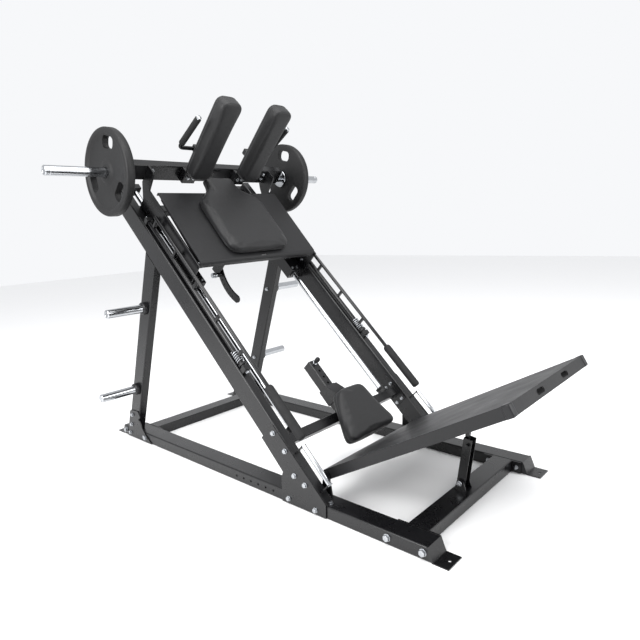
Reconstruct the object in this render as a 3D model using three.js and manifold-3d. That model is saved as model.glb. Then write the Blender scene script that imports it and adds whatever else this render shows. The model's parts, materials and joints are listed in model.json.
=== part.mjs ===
// Combined leg press and hack squat machine, at full size, in millimetres with +Z up.
// X runs across the machine, -Y is the end with the foot platform, and Z is 0 on the floor.
import * as THREE from 'three';
import { mergeVertices } from 'three/addons/utils/BufferGeometryUtils.js';
import Module from 'manifold-3d';

const wasm = await Module();
wasm.setup();

// ---------------------------------------------------------------- driving sizes
const GAP = 0.3;                 // left between faces that touch
const RUN = 1;                   // running clearance of a pin in its hole

// Base frame
const BASE_OUTER = 496;          // centre line to the outer face of a base rail
const BASE_WIDTH = 100;
const BASE_HEIGHT = 60;
const BASE_HALF_LENGTH = 1098;   // to the top edge of either sloped end
const END_SLOPE = 24;            // how far an end plate leans out on its way down
const TAB_LENGTH = 62;
const SHEET = 5;                 // end plates and foot tabs
const TUBE_WALL = 3;
const TUBE_CORNER = 7;
const CROSS_WIDTH = 100;
const FLANGE_LENGTH = 190;
const FLANGE_THICK = 6;
const FRONT_TUBE_INSET = 103;
const REAR_TUBE_INSET = 174;

// Inclined rails, over the 45 degree line that leaves the floor at the origin
const RAIL_ANGLE = 45;
const RAIL_WIDTH = 50;
const RAIL_DEPTH = 112;
const RAIL_CENTRE = 415;
const RAIL_TOP_END = 1725;

// Uprights and storage horns
const UPRIGHT_DEPTH = 95;
const UPRIGHT_LEAN = 20;
const UPRIGHT_INSET = 111;       // base rail's end to the centre of the upright's foot
const HORN_HEIGHTS = { lower: 331, upper: 833 };
const HORN_LENGTH = 230;
const HORN_DIAMETER = 48;
const HORN_COLLAR = 13;
const GUSSET = 6;

// Guide rods
const ROD_DIAMETER = 32;
const ROD_INSET = 81;            // rail's inner face to the rod's centre line
const ROD_DROP = 3;              // rod's centre line under the rail's
const ROD_SETBACK = 35;
const HOUSING_WALL = 19;
const HOUSING_LENGTH = 130;
const BUMPER_LENGTH = 34;
const BUMPER_WALL = 12;
const BLOCK_LENGTH = 36;

// Safety racks and the guards under them
const LOCK_RISE = 19;            // rail's top face to the pivot tube's centre line
const LOCK_BAR_RISE = 62;
const LOCK_TUBE_DIAMETER = 25;
const LOCK_BAR_DIAMETER = 20;
const LOCK_GRIP_DIAMETER = 44;
const LOCK_STUB_DIAMETER = 18;
const LOCK_LOW = 330;
const LUG_LENGTH = 26;
const RUNG_SIZE = 16;
const RUNG_PITCH = 222;
const RUNG_FIRST = 418;
const RUNG_COUNT = 5;
const GRIP_LOW = -94;
const GRIP_HIGH = 198;
const TOP_FLANGE_BELOW = 34;
const GUARD_LOW = -326;
const GUARD_HIGH = -113;
const GUARD_RISE = 62;
const GUARD_DIAMETER = 22;
const GUARD_TAB = 5;

// Carriage
const BEAM_SETBACK = 157;        // rail's top end to the front face of the beam
const BEAM_THICK = 50;
const BEAM_BOTTOM = 600;
const BEAM_DEPTH = 100;
const BEAM_OVERHANG = 64;
const SLEEVE_LEVEL = 624;
const SLEEVE_DIAMETER = 50;
const SLEEVE_REACH = 401;
const PLATE_DIAMETER = 450;
const PLATE_THICK = 46;
const PLATE_GRIP = { width: 104, height: 64, corner: 25, centre: 150 };
const PLATE_STANDOFF = 48;
const STOP_FLANGE = 10;
const STOP_RADIUS = 55;
const SIDE_THICK = 10;
const SIDE_CLEAR = 4;
const HOUSING_LOW_SETBACK = 638; // beam's front face back to the start of either bearing housing
const HOUSING_HIGH_SETBACK = 198;

// Press plate, its quadrant and the back pad
const HINGE_SETBACK = 620;
const HINGE_LEVEL = 580;
const HINGE_PIN = 16;
const PRESS_TILT = 3;
const PRESS_CLEAR = 3;
const PRESS_LENGTH = 487;
const PRESS_RISE = 18;           // underside of the sheet over the hinge axis
const PRESS_ROLL = 20;
const QUADRANT_RADIUS = 258;
const QUADRANT_WIDTH = 44;
const QUADRANT_X = -100;
const QUADRANT_THICK = 10;
const QUADRANT_STEP = 7;
const QUADRANT_HOLES = 6;
const TILT_PIN_ANGLE = -66;
const TILT_PIN_DIAMETER = 10;
const CARRIAGE_TUBE = { ahead: 146, overRod: 2, size: 50 };
const BACK_PAD = { half: 224, neck: 104, low: 18, shoulder: 360, taperEnd: 535, high: 580, thick: 50 };

// Shoulder pads and hack handles
const SHOULDER_PAD = { inner: 112, outer: 252, low: 700, high: 1200, thick: 84, clear: 43, corner: 42 };
const HANDLE = {
  aside: 64, behind: 19, level: 842, lean: 13, diameter: 22, grip: 34, gripStart: 32, gripLength: 190,
};

// Seat
const LOWER_TUBE_S = -35;
const LOWER_TUBE = 50;
const SEAT_POST = 60;
const SEAT_POST_WALL = 4;
const SEAT_POST_TOP = 300;
const SEAT = { low: -200, high: 65, frontHalf: 186, backHalf: 100, thick: 70, tilt: 6.5, rise: 8 };
const SEAT_SLEEVE = { low: 50, length: 90, wall: 5 };
const STOP_PIN_DIAMETER = 12;
const STOP_PIN_INSET = 16;

// Foot platform and its prop
const PLATFORM_ANGLE = 29.1;
const PLATFORM_EDGE = { y: -501, z: 160 };   // rear top edge
const PLATFORM_LENGTH = 974;
const PLATFORM_CLEAR = 1;
const PLATFORM_FLANGE = 48;
const PLATFORM_SHEET = 4;
const STIFFENER_INSET = 30;
const PLATFORM_HINGE = { back: 15, down: 25, pin: 16 };
const PROP = { behind: 10, z: 92, lean: 9, width: 44, depth: 40, wall: 4, pin: 16, below: 22, channel: 214 };

// ---------------------------------------------------------------- sizes that follow
const BASE_INNER = BASE_OUTER - BASE_WIDTH;
const RAIL_INNER = BASE_OUTER - RAIL_WIDTH;
const RAIL_MIDDLE = BASE_OUTER - RAIL_WIDTH / 2;
const RAIL_BOTTOM = RAIL_CENTRE - RAIL_DEPTH / 2;
const RAIL_TOP = RAIL_CENTRE + RAIL_DEPTH / 2;
const FRONT_TUBE_Y = FRONT_TUBE_INSET - BASE_HALF_LENGTH;
const REAR_TUBE_Y = BASE_HALF_LENGTH - REAR_TUBE_INSET;
const UPRIGHT_FOOT_Y = BASE_HALF_LENGTH - UPRIGHT_INSET;
const ROD_OFFSET = RAIL_INNER - ROD_INSET;
const ROD_LEVEL = RAIL_CENTRE - ROD_DROP;
const ROD_HIGH = RAIL_TOP_END - ROD_SETBACK;
const ROD_LOW = LOWER_TUBE_S + LOWER_TUBE / 2;
const HOUSING_DEPTH = ROD_DIAMETER + 2 * HOUSING_WALL;
const LOCK_AXIS_LEVEL = RAIL_TOP + LOCK_RISE;
const LOCK_BAR_LEVEL = LOCK_AXIS_LEVEL + LOCK_BAR_RISE;
const LOCK_HIGH = RUNG_FIRST + RUNG_PITCH * (RUNG_COUNT - 1) + 24;
const GUARD_LEVEL = RAIL_TOP + GUARD_RISE;
const BEAM_LOW = RAIL_TOP_END - BEAM_SETBACK;
const BEAM_TOP = BEAM_BOTTOM + BEAM_DEPTH;
const BEAM_HALF = BASE_OUTER + BEAM_OVERHANG;
const SLEEVE_S = BEAM_LOW + BEAM_THICK / 2;
const SLEEVE_END = BEAM_HALF + SLEEVE_REACH;
const PLATE_INNER_FACE = BEAM_HALF + PLATE_STANDOFF;
const SIDE_OUTER = RAIL_INNER - SIDE_CLEAR;
const SIDE_INNER = SIDE_OUTER - SIDE_THICK;
const HOUSING_LOW_S = BEAM_LOW - HOUSING_LOW_SETBACK;
const HOUSING_HIGH_S = BEAM_LOW - HOUSING_HIGH_SETBACK;
const HINGE_S = BEAM_LOW - HINGE_SETBACK;
const PRESS_HALF = SIDE_INNER - PRESS_CLEAR;
const PRESS_TOP = PRESS_RISE + SHEET;
const PAD_BACK = BEAM_LOW - SHOULDER_PAD.clear;
const HANDLE_X = SHOULDER_PAD.outer + HANDLE.aside;
const HANDLE_S = BEAM_LOW - HANDLE.behind;
const SEAT_SLEEVE_HALF = SEAT_POST / 2 + RUN + SEAT_SLEEVE.wall;
const SEAT_BOTTOM = ROD_LEVEL + SEAT_SLEEVE_HALF + SEAT.rise;
const PLATFORM_HALF = BASE_INNER - PLATFORM_CLEAR;
const PROP_Y = FRONT_TUBE_Y + PROP.behind;

// ---------------------------------------------------------------- materials
function finish(color, roughness, metalness) {
  return new THREE.MeshStandardMaterial({ color, roughness, metalness });
}
const blackPaint = finish(0x1c1c1e, 0.42, 0.1);
const pressPaint = finish(0x2a2a2c, 0.55, 0.1);
const chrome = finish(0xd8d9dc, 0.12, 1.0);
const zinc = finish(0xb9bcc0, 0.35, 1.0);
const rubber = finish(0x18181a, 0.8, 0.0);
const vinyl = finish(0x1f1f21, 0.6, 0.0);

// ---------------------------------------------------------------- shapes
const DEG = Math.PI / 180;
const cosOf = (degrees) => Math.cos(degrees * DEG);
const sinOf = (degrees) => Math.sin(degrees * DEG);

function solidOf(geometry) {
  const bare = geometry.clone();
  bare.deleteAttribute('normal');
  bare.deleteAttribute('uv');
  const merged = mergeVertices(bare, 1e-4);
  const vertProperties = new Float32Array(merged.attributes.position.array);
  const triVerts = new Uint32Array(merged.index.array);
  return new wasm.Manifold(new wasm.Mesh({ numProp: 3, vertProperties, triVerts }));
}

function geometryOf(solid) {
  const mesh = solid.getMesh();
  const geometry = new THREE.BufferGeometry();
  geometry.setAttribute('position', new THREE.BufferAttribute(new Float32Array(mesh.vertProperties), 3));
  geometry.setIndex(new THREE.BufferAttribute(new Uint32Array(mesh.triVerts), 1));
  geometry.computeVertexNormals();
  return geometry;
}

function cut(body, ...tools) {
  return geometryOf(tools.reduce((rest, tool) => rest.subtract(solidOf(tool)), solidOf(body)));
}

function join(body, ...others) {
  return geometryOf(others.reduce((sum, other) => sum.add(solidOf(other)), solidOf(body)));
}

// A box from its lowest to its highest corner.
function block(x0, x1, y0, y1, z0, z1) {
  const geometry = new THREE.BoxGeometry(x1 - x0, y1 - y0, z1 - z0);
  return geometry.translate((x0 + x1) / 2, (y0 + y1) / 2, (z0 + z1) / 2);
}

const span = (a, b) => [Math.min(a, b), Math.max(a, b)];

function outline(points) {
  const shape = new THREE.Shape();
  points.forEach(([a, b], i) => (i ? shape.lineTo(a, b) : shape.moveTo(a, b)));
  shape.closePath();
  return shape;
}

// A rectangle with round corners, centred, as a Shape or as a hole Path.
function roundRect(width, height, radius, Kind = THREE.Shape) {
  const w = width / 2;
  const h = height / 2;
  const path = new Kind();
  path.moveTo(w - radius, -h);
  path.absarc(w - radius, -h + radius, radius, -Math.PI / 2, 0);
  path.absarc(w - radius, h - radius, radius, 0, Math.PI / 2);
  path.absarc(-w + radius, h - radius, radius, Math.PI / 2, Math.PI);
  path.absarc(-w + radius, -h + radius, radius, Math.PI, Math.PI * 1.5);
  path.closePath();
  return path;
}

// Hollow rectangular tube along Z from z0 to z1; width lies along X and depth along Y.
function boxTube(width, depth, z0, z1, wall = TUBE_WALL, corner = TUBE_CORNER) {
  const shape = roundRect(width, depth, corner);
  shape.holes.push(roundRect(width - 2 * wall, depth - 2 * wall, corner - wall, THREE.Path));
  const geometry = new THREE.ExtrudeGeometry(shape, { depth: z1 - z0, bevelEnabled: false, curveSegments: 2 });
  return geometry.translate(0, 0, z0);
}

const alongX = (geometry) => geometry.rotateX(Math.PI / 2).rotateZ(Math.PI / 2);   // Z -> X, X -> Y, Y -> Z
const alongY = (geometry) => geometry.rotateX(-Math.PI / 2);                       // Z -> Y, Y -> -Z

// A flat profile drawn in (Y, Z) and given a thickness along X from x0 to x1.
function slab(shape, x0, x1, curveSegments = 4) {
  const geometry = new THREE.ExtrudeGeometry(shape, { depth: x1 - x0, bevelEnabled: false, curveSegments });
  return alongX(geometry).translate(x0, 0, 0);
}

// Round bar along X, Y or Z between two ends, through the point given for the other two axes.
function bar(axis, radius, from, to, a, b, segments = 16) {
  const geometry = new THREE.CylinderGeometry(radius, radius, to - from, segments);
  const middle = (from + to) / 2;
  if (axis === 'x') {
    return geometry.rotateZ(Math.PI / 2).translate(middle, a, b);
  }
  if (axis === 'y') {
    return geometry.translate(a, middle, b);
  }
  return geometry.rotateX(Math.PI / 2).translate(a, b, middle);
}

// Solid of revolution about Y from a list of [radius, y].
function lathed(profile, segments) {
  return new THREE.LatheGeometry(profile.map(([radius, y]) => new THREE.Vector2(radius, y)), segments);
}

// Solid of revolution about X: profile is a list of [x, radius] that starts and ends on the axis.
function turned(profile, y, z, segments = 20) {
  const points = profile.map(([x, radius]) => new THREE.Vector2(radius, x));
  return new THREE.LatheGeometry(points, segments).rotateZ(-Math.PI / 2).translate(0, y, z);
}

// Round bar bent along a path, with a circle of `sides` sides as its section.
function bentBar(curve, radius, steps, sides = 12) {
  const section = new THREE.Shape();
  section.absarc(0, 0, radius, 0, Math.PI * 2);
  const options = { steps, bevelEnabled: false, extrudePath: curve, curveSegments: sides / 2 };
  return new THREE.ExtrudeGeometry(section, options);
}

// Path of straight runs joined by round bends of one radius.
function bendPath(points, radius) {
  const path = new THREE.CurvePath();
  let start = points[0];
  for (let i = 1; i < points.length - 1; i += 1) {
    const toCorner = points[i].clone().sub(points[i - 1]).normalize();
    const fromCorner = points[i + 1].clone().sub(points[i]).normalize();
    const before = points[i].clone().addScaledVector(toCorner, -radius);
    const after = points[i].clone().addScaledVector(fromCorner, radius);
    path.add(new THREE.LineCurve3(start, before));
    path.add(new THREE.QuadraticBezierCurve3(before, points[i], after));
    start = after;
  }
  path.add(new THREE.LineCurve3(start, points[points.length - 1]));
  return path;
}

// ---------------------------------------------------------------- groups
const machine = new THREE.Group();
const base = new THREE.Group();
const incline = new THREE.Group();     // local Y runs up the rails and local Z stands on them
const platform = new THREE.Group();    // local -Y runs up the platform
const prop = new THREE.Group();
incline.rotation.x = RAIL_ANGLE * DEG;
platform.rotation.x = -PLATFORM_ANGLE * DEG;
platform.position.set(0, PLATFORM_EDGE.y, PLATFORM_EDGE.z);
prop.rotation.x = PROP.lean * DEG;
prop.position.set(0, PROP_Y, PROP.z);

// The origin is under the middle of the whole length, between the rear tabs and the platform's tip.
const REAR_END = BASE_HALF_LENGTH + END_SLOPE + TAB_LENGTH;
const PLATFORM_TIP = PLATFORM_EDGE.y - PLATFORM_LENGTH * cosOf(PLATFORM_ANGLE)
  - PLATFORM_FLANGE * sinOf(PLATFORM_ANGLE);
machine.position.y = -(REAR_END + PLATFORM_TIP) / 2;
machine.add(base, incline, platform, prop);


function place(group, name, geometry, material) {
  const mesh = new THREE.Mesh(geometry, material);
  mesh.name = name;
  group.add(mesh);
}

// Adds name_left as drawn at negative X and name_right as its mirror image.
function placePair(group, name, geometry, material) {
  place(group, `${name}_left`, geometry, material);
  const mirrored = geometry.index ? geometry.toNonIndexed() : geometry.clone();
  const p = mirrored.attributes.position;
  for (let i = 0; i < p.count; i += 1) {
    p.setX(i, -p.getX(i));
  }
  for (let i = 0; i < p.count; i += 3) {
    const keep = [p.getX(i), p.getY(i), p.getZ(i)];
    p.setXYZ(i, p.getX(i + 1), p.getY(i + 1), p.getZ(i + 1));
    p.setXYZ(i + 1, ...keep);
  }
  mirrored.computeVertexNormals();
  place(group, `${name}_right`, mirrored, material);
}

// Where a point of the inclined rails lies on the floor plan.
function railPoint(s, n) {
  const c = cosOf(RAIL_ANGLE);
  const d = sinOf(RAIL_ANGLE);
  return [s * c - n * d, s * d + n * c];
}

// ---------------------------------------------------------------- base
const HOLE_PITCH = 53;
const HOLE_FIRST_Y = -268;
const HOLE_COUNT = 6;
const FOOT_HOLE = 14;

// A bracket's ear standing on a tube, with its pin hole's centre at (y, z).
function earShape(y, z, foot) {
  return outline([[y - foot, BASE_HEIGHT - 1], [y + foot, BASE_HEIGHT - 1], [y + 16, z + 7], [y + 8, z + 16],
    [y - 8, z + 16], [y - 16, z + 7]]);
}

// The pin that the platform's side flange turns on.
function platformHingePoint() {
  const { back, down } = PLATFORM_HINGE;
  const c = cosOf(PLATFORM_ANGLE);
  const d = sinOf(PLATFORM_ANGLE);
  return [PLATFORM_EDGE.y - back * c - down * d, PLATFORM_EDGE.z + back * d - down * c];
}

function baseRail() {
  const middle = -(BASE_OUTER + BASE_INNER) / 2;
  const long = BASE_HALF_LENGTH + END_SLOPE;
  const tube = alongY(boxTube(BASE_WIDTH, BASE_HEIGHT, -long, long)).translate(middle, 0, BASE_HEIGHT / 2);
  const plates = [];
  const ends = [];
  [-1, 1].forEach((end) => {
    const top = end * BASE_HALF_LENGTH;
    const foot = end * long;
    const tip = end * (long + TAB_LENGTH);
    const inward = -end * SHEET;
    const lean = SHEET * END_SLOPE / BASE_HEIGHT;
    const beyond = foot + end * 10;
    const wedge = [[top, BASE_HEIGHT], [foot, 0], [beyond, 0], [beyond, BASE_HEIGHT + 1], [top, BASE_HEIGHT + 1]];
    ends.push(slab(outline(wedge.map(([y, z]) => [y + inward / 2, z])), -BASE_OUTER - 1, -BASE_INNER + 1));
    const plate = [[top, BASE_HEIGHT], [foot - end * lean, SHEET], [tip, SHEET], [tip, 0],
      [foot + inward * 1.5, 0], [top + inward * 1.1, BASE_HEIGHT]];
    plates.push(slab(outline(plate), -BASE_OUTER, -BASE_INNER));
  });
  const holes = Array.from({ length: HOLE_COUNT }, (_, i) => {
    const y = HOLE_FIRST_Y + i * HOLE_PITCH;
    return bar('x', 6, -BASE_OUTER - 1, -BASE_OUTER + TUBE_WALL + 1, y, BASE_HEIGHT / 2, 8);
  });
  const tabHoles = [-1, 1].map((end) =>
    bar('z', FOOT_HOLE / 2, -1, SHEET + 1, middle, end * (long + TAB_LENGTH * 0.62), 10));
  const [hingeY, hingeZ] = platformHingePoint();
  const earInner = PLATFORM_HALF + 4;
  const ear = slab(earShape(hingeY, hingeZ, 30), -earInner - 8, -earInner);
  const pin = bar('x', PLATFORM_HINGE.pin / 2, -earInner - 2, -PLATFORM_HALF + 14, hingeY, hingeZ);
  return cut(join(cut(tube, ...ends), ...plates, ear, pin), ...holes, ...tabHoles);
}
placePair(base, 'base_rail', baseRail(), blackPaint);

function crossTube(y) {
  const reach = BASE_INNER - GAP;
  const tube = alongX(boxTube(CROSS_WIDTH, BASE_HEIGHT, -reach + 1, reach - 1)).translate(0, y, BASE_HEIGHT / 2);
  const half = FLANGE_LENGTH / 2;
  const flanges = [-1, 1].map((side) =>
    block(...span(side * reach, side * (reach - FLANGE_THICK)), y - half, y + half, 2, BASE_HEIGHT - 2));
  const drains = [-1, 1].map((side) => bar('x', 10, side * reach - 8, side * reach + 8, y, BASE_HEIGHT / 2, 8));
  return [tube, flanges, drains];
}

function frontCrossTube() {
  const [tube, flanges, drains] = crossTube(FRONT_TUBE_Y);
  const earInner = PROP.width / 2 + 2;
  const earOuter = earInner + 6;
  const earOutline = earShape(PROP_Y, PROP.z, 28);
  const ears = [-1, 1].map((side) => slab(earOutline, ...span(side * earInner, side * earOuter)));
  const pin = bar('x', PROP.pin / 2, -earOuter - 6, earOuter + 6, PROP_Y, PROP.z);
  return cut(join(tube, ...flanges, ...ears, pin), ...drains);
}
place(base, 'front_cross_tube', frontCrossTube(), blackPaint);

function rearCrossTube() {
  const [tube, flanges, drains] = crossTube(REAR_TUBE_Y);
  return cut(join(tube, ...flanges), ...drains);
}
place(base, 'rear_cross_tube', rearCrossTube(), blackPaint);

// ---------------------------------------------------------------- uprights and gussets
const uprightY = (z) => UPRIGHT_FOOT_Y - (z - BASE_HEIGHT) * Math.tan(UPRIGHT_LEAN * DEG);
const BIG = 4000;

// Everything on the far side of a plane drawn as a tilted block, used to trim a tube's end.
function trimBlock(angle, y, z) {
  return new THREE.BoxGeometry(BIG, BIG, BIG).translate(0, 0, BIG / 2).rotateX(angle * DEG).translate(0, y, z);
}

function upright() {
  const tube = boxTube(RAIL_WIDTH, UPRIGHT_DEPTH, -200, 1500).rotateX(UPRIGHT_LEAN * DEG)
    .translate(-RAIL_MIDDLE, uprightY(BASE_HEIGHT), BASE_HEIGHT);
  const [railY, railZ] = railPoint(0, RAIL_BOTTOM - GAP);
  return cut(tube, trimBlock(180, 0, BASE_HEIGHT + GAP), trimBlock(RAIL_ANGLE, railY, railZ));
}
placePair(base, 'upright', upright(), blackPaint);

const gussetInner = -BASE_OUTER - GAP;

function rearGusset() {
  const half = UPRIGHT_DEPTH / 2 / cosOf(UPRIGHT_LEAN);
  const topZ = 180;
  const shape = new THREE.Shape();
  shape.moveTo(UPRIGHT_FOOT_Y + 64, 4);
  shape.lineTo(uprightY(topZ) + half + 4, topZ - 8);
  shape.lineTo(uprightY(topZ) + half - 8, topZ);
  shape.lineTo(uprightY(topZ) - half + 14, topZ + 5);
  shape.lineTo(uprightY(topZ) - half - 4, topZ - 28);
  shape.quadraticCurveTo(uprightY(BASE_HEIGHT) - half - 20, BASE_HEIGHT + 30, UPRIGHT_FOOT_Y - 202, 4);
  shape.closePath();
  const slot = slab(roundRect(28, 14, 6.9), gussetInner - GUSSET - 1, gussetInner + 1)
    .translate(0, UPRIGHT_FOOT_Y - 94, 134);
  return cut(slab(shape, gussetInner - GUSSET, gussetInner), slot);
}
placePair(base, 'rear_gusset', rearGusset(), blackPaint);

function lowerGusset() {
  const upper = railPoint(48, RAIL_TOP - 3);
  const upperBack = railPoint(48, RAIL_BOTTOM - 4);
  const toe = railPoint(BASE_HEIGHT / sinOf(RAIL_ANGLE) - RAIL_TOP, RAIL_TOP);
  const shape = outline([upper, upperBack, [toe[0] + 258, 150], [toe[0] + 270, 118], [toe[0] + 274, 4],
    [toe[0] + 6, 4], [toe[0] + 2, toe[1] + 8]]);
  return slab(shape, gussetInner - GUSSET, gussetInner);
}
placePair(base, 'lower_gusset', lowerGusset(), blackPaint);

// ---------------------------------------------------------------- storage horns
function storageHorn(z) {
  const radius = HORN_DIAMETER / 2;
  const root = -BASE_OUTER - GAP;
  return turned([[root - HORN_LENGTH, 0], [root - HORN_LENGTH, radius - 4], [root - HORN_LENGTH + 4, radius],
    [root - 8, radius], [root - 8, radius + HORN_COLLAR], [root, radius + HORN_COLLAR], [root, 0]], uprightY(z), z, 16);
}
Object.entries(HORN_HEIGHTS).forEach(([level, z]) => {
  placePair(base, `${level}_storage_horn`, storageHorn(z), chrome);
});

// ---------------------------------------------------------------- inclined rails
function inclineRail() {
  const tube = alongY(boxTube(RAIL_WIDTH, RAIL_DEPTH, -700, RAIL_TOP_END)).translate(-RAIL_MIDDLE, 0, RAIL_CENTRE);
  const floorCut = new THREE.BoxGeometry(BIG, BIG, BIG).translate(0, 0, -BIG / 2).rotateX(-RAIL_ANGLE * DEG);
  const lift = BASE_HEIGHT + GAP;
  floorCut.translate(0, lift * sinOf(RAIL_ANGLE), lift * cosOf(RAIL_ANGLE));
  const boreRadius = LOCK_TUBE_DIAMETER / 2 + RUN;
  const lugHalf = boreRadius + 4;
  const lugs = [LOCK_LOW + 4, LOCK_HIGH + 22].map((s) =>
    block(-RAIL_MIDDLE - lugHalf, lugHalf - RAIL_MIDDLE, s, s + LUG_LENGTH, RAIL_TOP - 1, LOCK_AXIS_LEVEL + lugHalf));
  const bore = bar('y', boreRadius, LOCK_LOW - 10, LOCK_HIGH + 60, -RAIL_MIDDLE, LOCK_AXIS_LEVEL, 14);
  return join(cut(tube, floorCut), ...lugs.map((lug) => cut(lug, bore)));
}
placePair(incline, 'incline_rail', inclineRail(), blackPaint);

// A straight bar between two thin tabs that stand on the rail.
function guardBar() {
  const radius = GUARD_DIAMETER / 2;
  const x = -RAIL_MIDDLE;
  const rod = bar('y', radius, GUARD_LOW, GUARD_HIGH, x, GUARD_LEVEL);
  const tabs = [GUARD_LOW + 2, GUARD_HIGH - 2 - GUARD_TAB].map((s) =>
    block(x - radius - 2, x + radius + 2, s, s + GUARD_TAB, RAIL_TOP + GAP, GUARD_LEVEL + radius / 2));
  return join(rod, ...tabs);
}
placePair(incline, 'guard_bar', guardBar(), chrome);

// ---------------------------------------------------------------- guide rods and cross tubes
const rodRadius = ROD_DIAMETER / 2;
const guideRod = bar('y', rodRadius, ROD_LOW + GAP, ROD_HIGH - GAP, -ROD_OFFSET, ROD_LEVEL, 20);
placePair(incline, 'guide_rod', guideRod, chrome);

function rodBumper() {
  const sides = 16;
  const inner = rodRadius / Math.cos(Math.PI / sides) + GAP;
  const outer = rodRadius + BUMPER_WALL;
  const profile = [[inner, 0], [outer, 0], [outer - 3, BUMPER_LENGTH / 2], [outer, BUMPER_LENGTH],
    [inner, BUMPER_LENGTH], [inner, 0]];
  return lathed(profile, sides).translate(-ROD_OFFSET, ROD_LOW + GAP, ROD_LEVEL);
}
placePair(incline, 'rod_bumper', rodBumper(), rubber);

function lowerCrossTube() {
  const reach = RAIL_INNER - GAP;
  const tube = alongX(boxTube(LOWER_TUBE, LOWER_TUBE, -reach + 1, reach - 1))
    .translate(0, LOWER_TUBE_S, RAIL_CENTRE);
  const flanges = [[-reach, -reach + FLANGE_THICK], [reach - FLANGE_THICK, reach]].map(([x0, x1]) =>
    block(x0, x1, LOWER_TUBE_S - 70, LOWER_TUBE_S + 62, RAIL_CENTRE - 42, RAIL_CENTRE + 42));
  const drains = [-reach, reach].map((x) => bar('x', 8, x - 8, x + 8, LOWER_TUBE_S, RAIL_CENTRE, 8));
  return cut(join(tube, ...flanges), ...drains);
}
place(incline, 'lower_cross_tube', lowerCrossTube(), blackPaint);

const TOP_TUBE_S = RAIL_TOP_END - 125;
const TOP_TUBE_LEVEL = RAIL_CENTRE - 70;

// The upper ends of the guide rods are held by blocks on this tube's end flanges.
function topCrossTube() {
  const reach = RAIL_INNER - GAP;
  const tube = alongX(boxTube(60, 40, -reach + 1, reach - 1)).translate(0, TOP_TUBE_S, TOP_TUBE_LEVEL);
  const blockHalf = rodRadius + 14;
  const end = ROD_HIGH + BLOCK_LENGTH;
  const ends = [-1, 1].flatMap((side) => {
    const flangeX = span(side * reach, side * (reach - FLANGE_THICK));
    const blockX = span(side * reach, side * (ROD_OFFSET - blockHalf));
    return [
      block(...flangeX, TOP_TUBE_S - TOP_FLANGE_BELOW, end, TOP_TUBE_LEVEL - 24, RAIL_CENTRE + 30),
      block(...blockX, ROD_HIGH, end, ROD_LEVEL - blockHalf, ROD_LEVEL + blockHalf),
    ];
  });
  const drains = [-1, 1].map((side) =>
    bar('x', 8, side * reach - 8, side * reach + 8, TOP_TUBE_S, TOP_TUBE_LEVEL, 8));
  return cut(join(tube, ...ends), ...drains);
}
place(incline, 'top_cross_tube', topCrossTube(), blackPaint);

// ---------------------------------------------------------------- safety racks
function lockRack() {
  const x = -RAIL_MIDDLE;
  const half = RUNG_SIZE / 2;
  const tube = bar('y', LOCK_TUBE_DIAMETER / 2, LOCK_LOW, LOCK_HIGH + 54, x, LOCK_AXIS_LEVEL, 14);
  const rungs = Array.from({ length: RUNG_COUNT }, (_, i) => {
    const s = RUNG_FIRST + RUNG_PITCH * i;
    return block(x - half, x + half, s - half, s + half, LOCK_AXIS_LEVEL, LOCK_BAR_LEVEL);
  });
  const handBar = bar('y', LOCK_BAR_DIAMETER / 2, GRIP_HIGH, LOCK_HIGH, x, LOCK_BAR_LEVEL, 14);
  const stub = bar('y', LOCK_STUB_DIAMETER / 2, GRIP_LOW + 14, GRIP_HIGH + 2, x, LOCK_BAR_LEVEL, 12);
  return join(tube, ...rungs, handBar, stub);
}
placePair(incline, 'lock_rack', lockRack(), blackPaint);

function lockGrip() {
  const inner = LOCK_STUB_DIAMETER / 2 + GAP;
  const outer = LOCK_GRIP_DIAMETER / 2;
  const cupped = GRIP_LOW + 14 - GAP;
  const mouth = GRIP_HIGH - GAP;
  const profile = [[0, GRIP_LOW], [outer - 8, GRIP_LOW], [outer - 2, GRIP_LOW + 4], [outer, GRIP_LOW + 12],
    [outer, GRIP_HIGH - 12], [outer - 5, mouth], [inner, mouth], [inner, cupped], [0, cupped]];
  return lathed(profile, 14).translate(-RAIL_MIDDLE, 0, LOCK_BAR_LEVEL);
}
placePair(incline, 'lock_grip', lockGrip(), rubber);

// ---------------------------------------------------------------- carriage
function carriageBeam() {
  return alongX(boxTube(BEAM_THICK, BEAM_DEPTH, -BEAM_HALF, BEAM_HALF, 4))
    .translate(0, SLEEVE_S, BEAM_BOTTOM + BEAM_DEPTH / 2);
}
place(incline, 'carriage_beam', carriageBeam(), blackPaint);

// One plate carries both bearing housings of a side, and the beam stands on its upper end.
function carriageSide() {
  const low = ROD_LEVEL - HOUSING_DEPTH / 2;
  const web = HINGE_LEVEL - 60;
  const front = BEAM_LOW - GAP;
  const lowHousingEnd = HOUSING_LOW_S + HOUSING_LENGTH;
  const highHousingEnd = HOUSING_HIGH_S + HOUSING_LENGTH;
  const toe = 30;
  const shape = outline([[HOUSING_LOW_S - 5, low], [HOUSING_LOW_S - 5, HINGE_LEVEL + 10],
    [highHousingEnd - 12, HINGE_LEVEL + 16], [highHousingEnd + 2, BEAM_TOP - 12], [highHousingEnd + 12, BEAM_TOP],
    [front, BEAM_TOP],
    [front, BEAM_BOTTOM - 10], [highHousingEnd + 10, web], [highHousingEnd, low], [HOUSING_HIGH_S - toe, low],
    [HOUSING_HIGH_S - toe, web], [lowHousingEnd + toe, web], [lowHousingEnd + toe, low]]);
  const plate = slab(shape, -SIDE_OUTER, -SIDE_INNER);
  const pin = bar('x', HINGE_PIN / 2, -SIDE_INNER - 2, -PRESS_HALF + 30, HINGE_S, HINGE_LEVEL);
  return join(plate, pin);
}
placePair(incline, 'carriage_side', carriageSide(), blackPaint);

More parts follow.
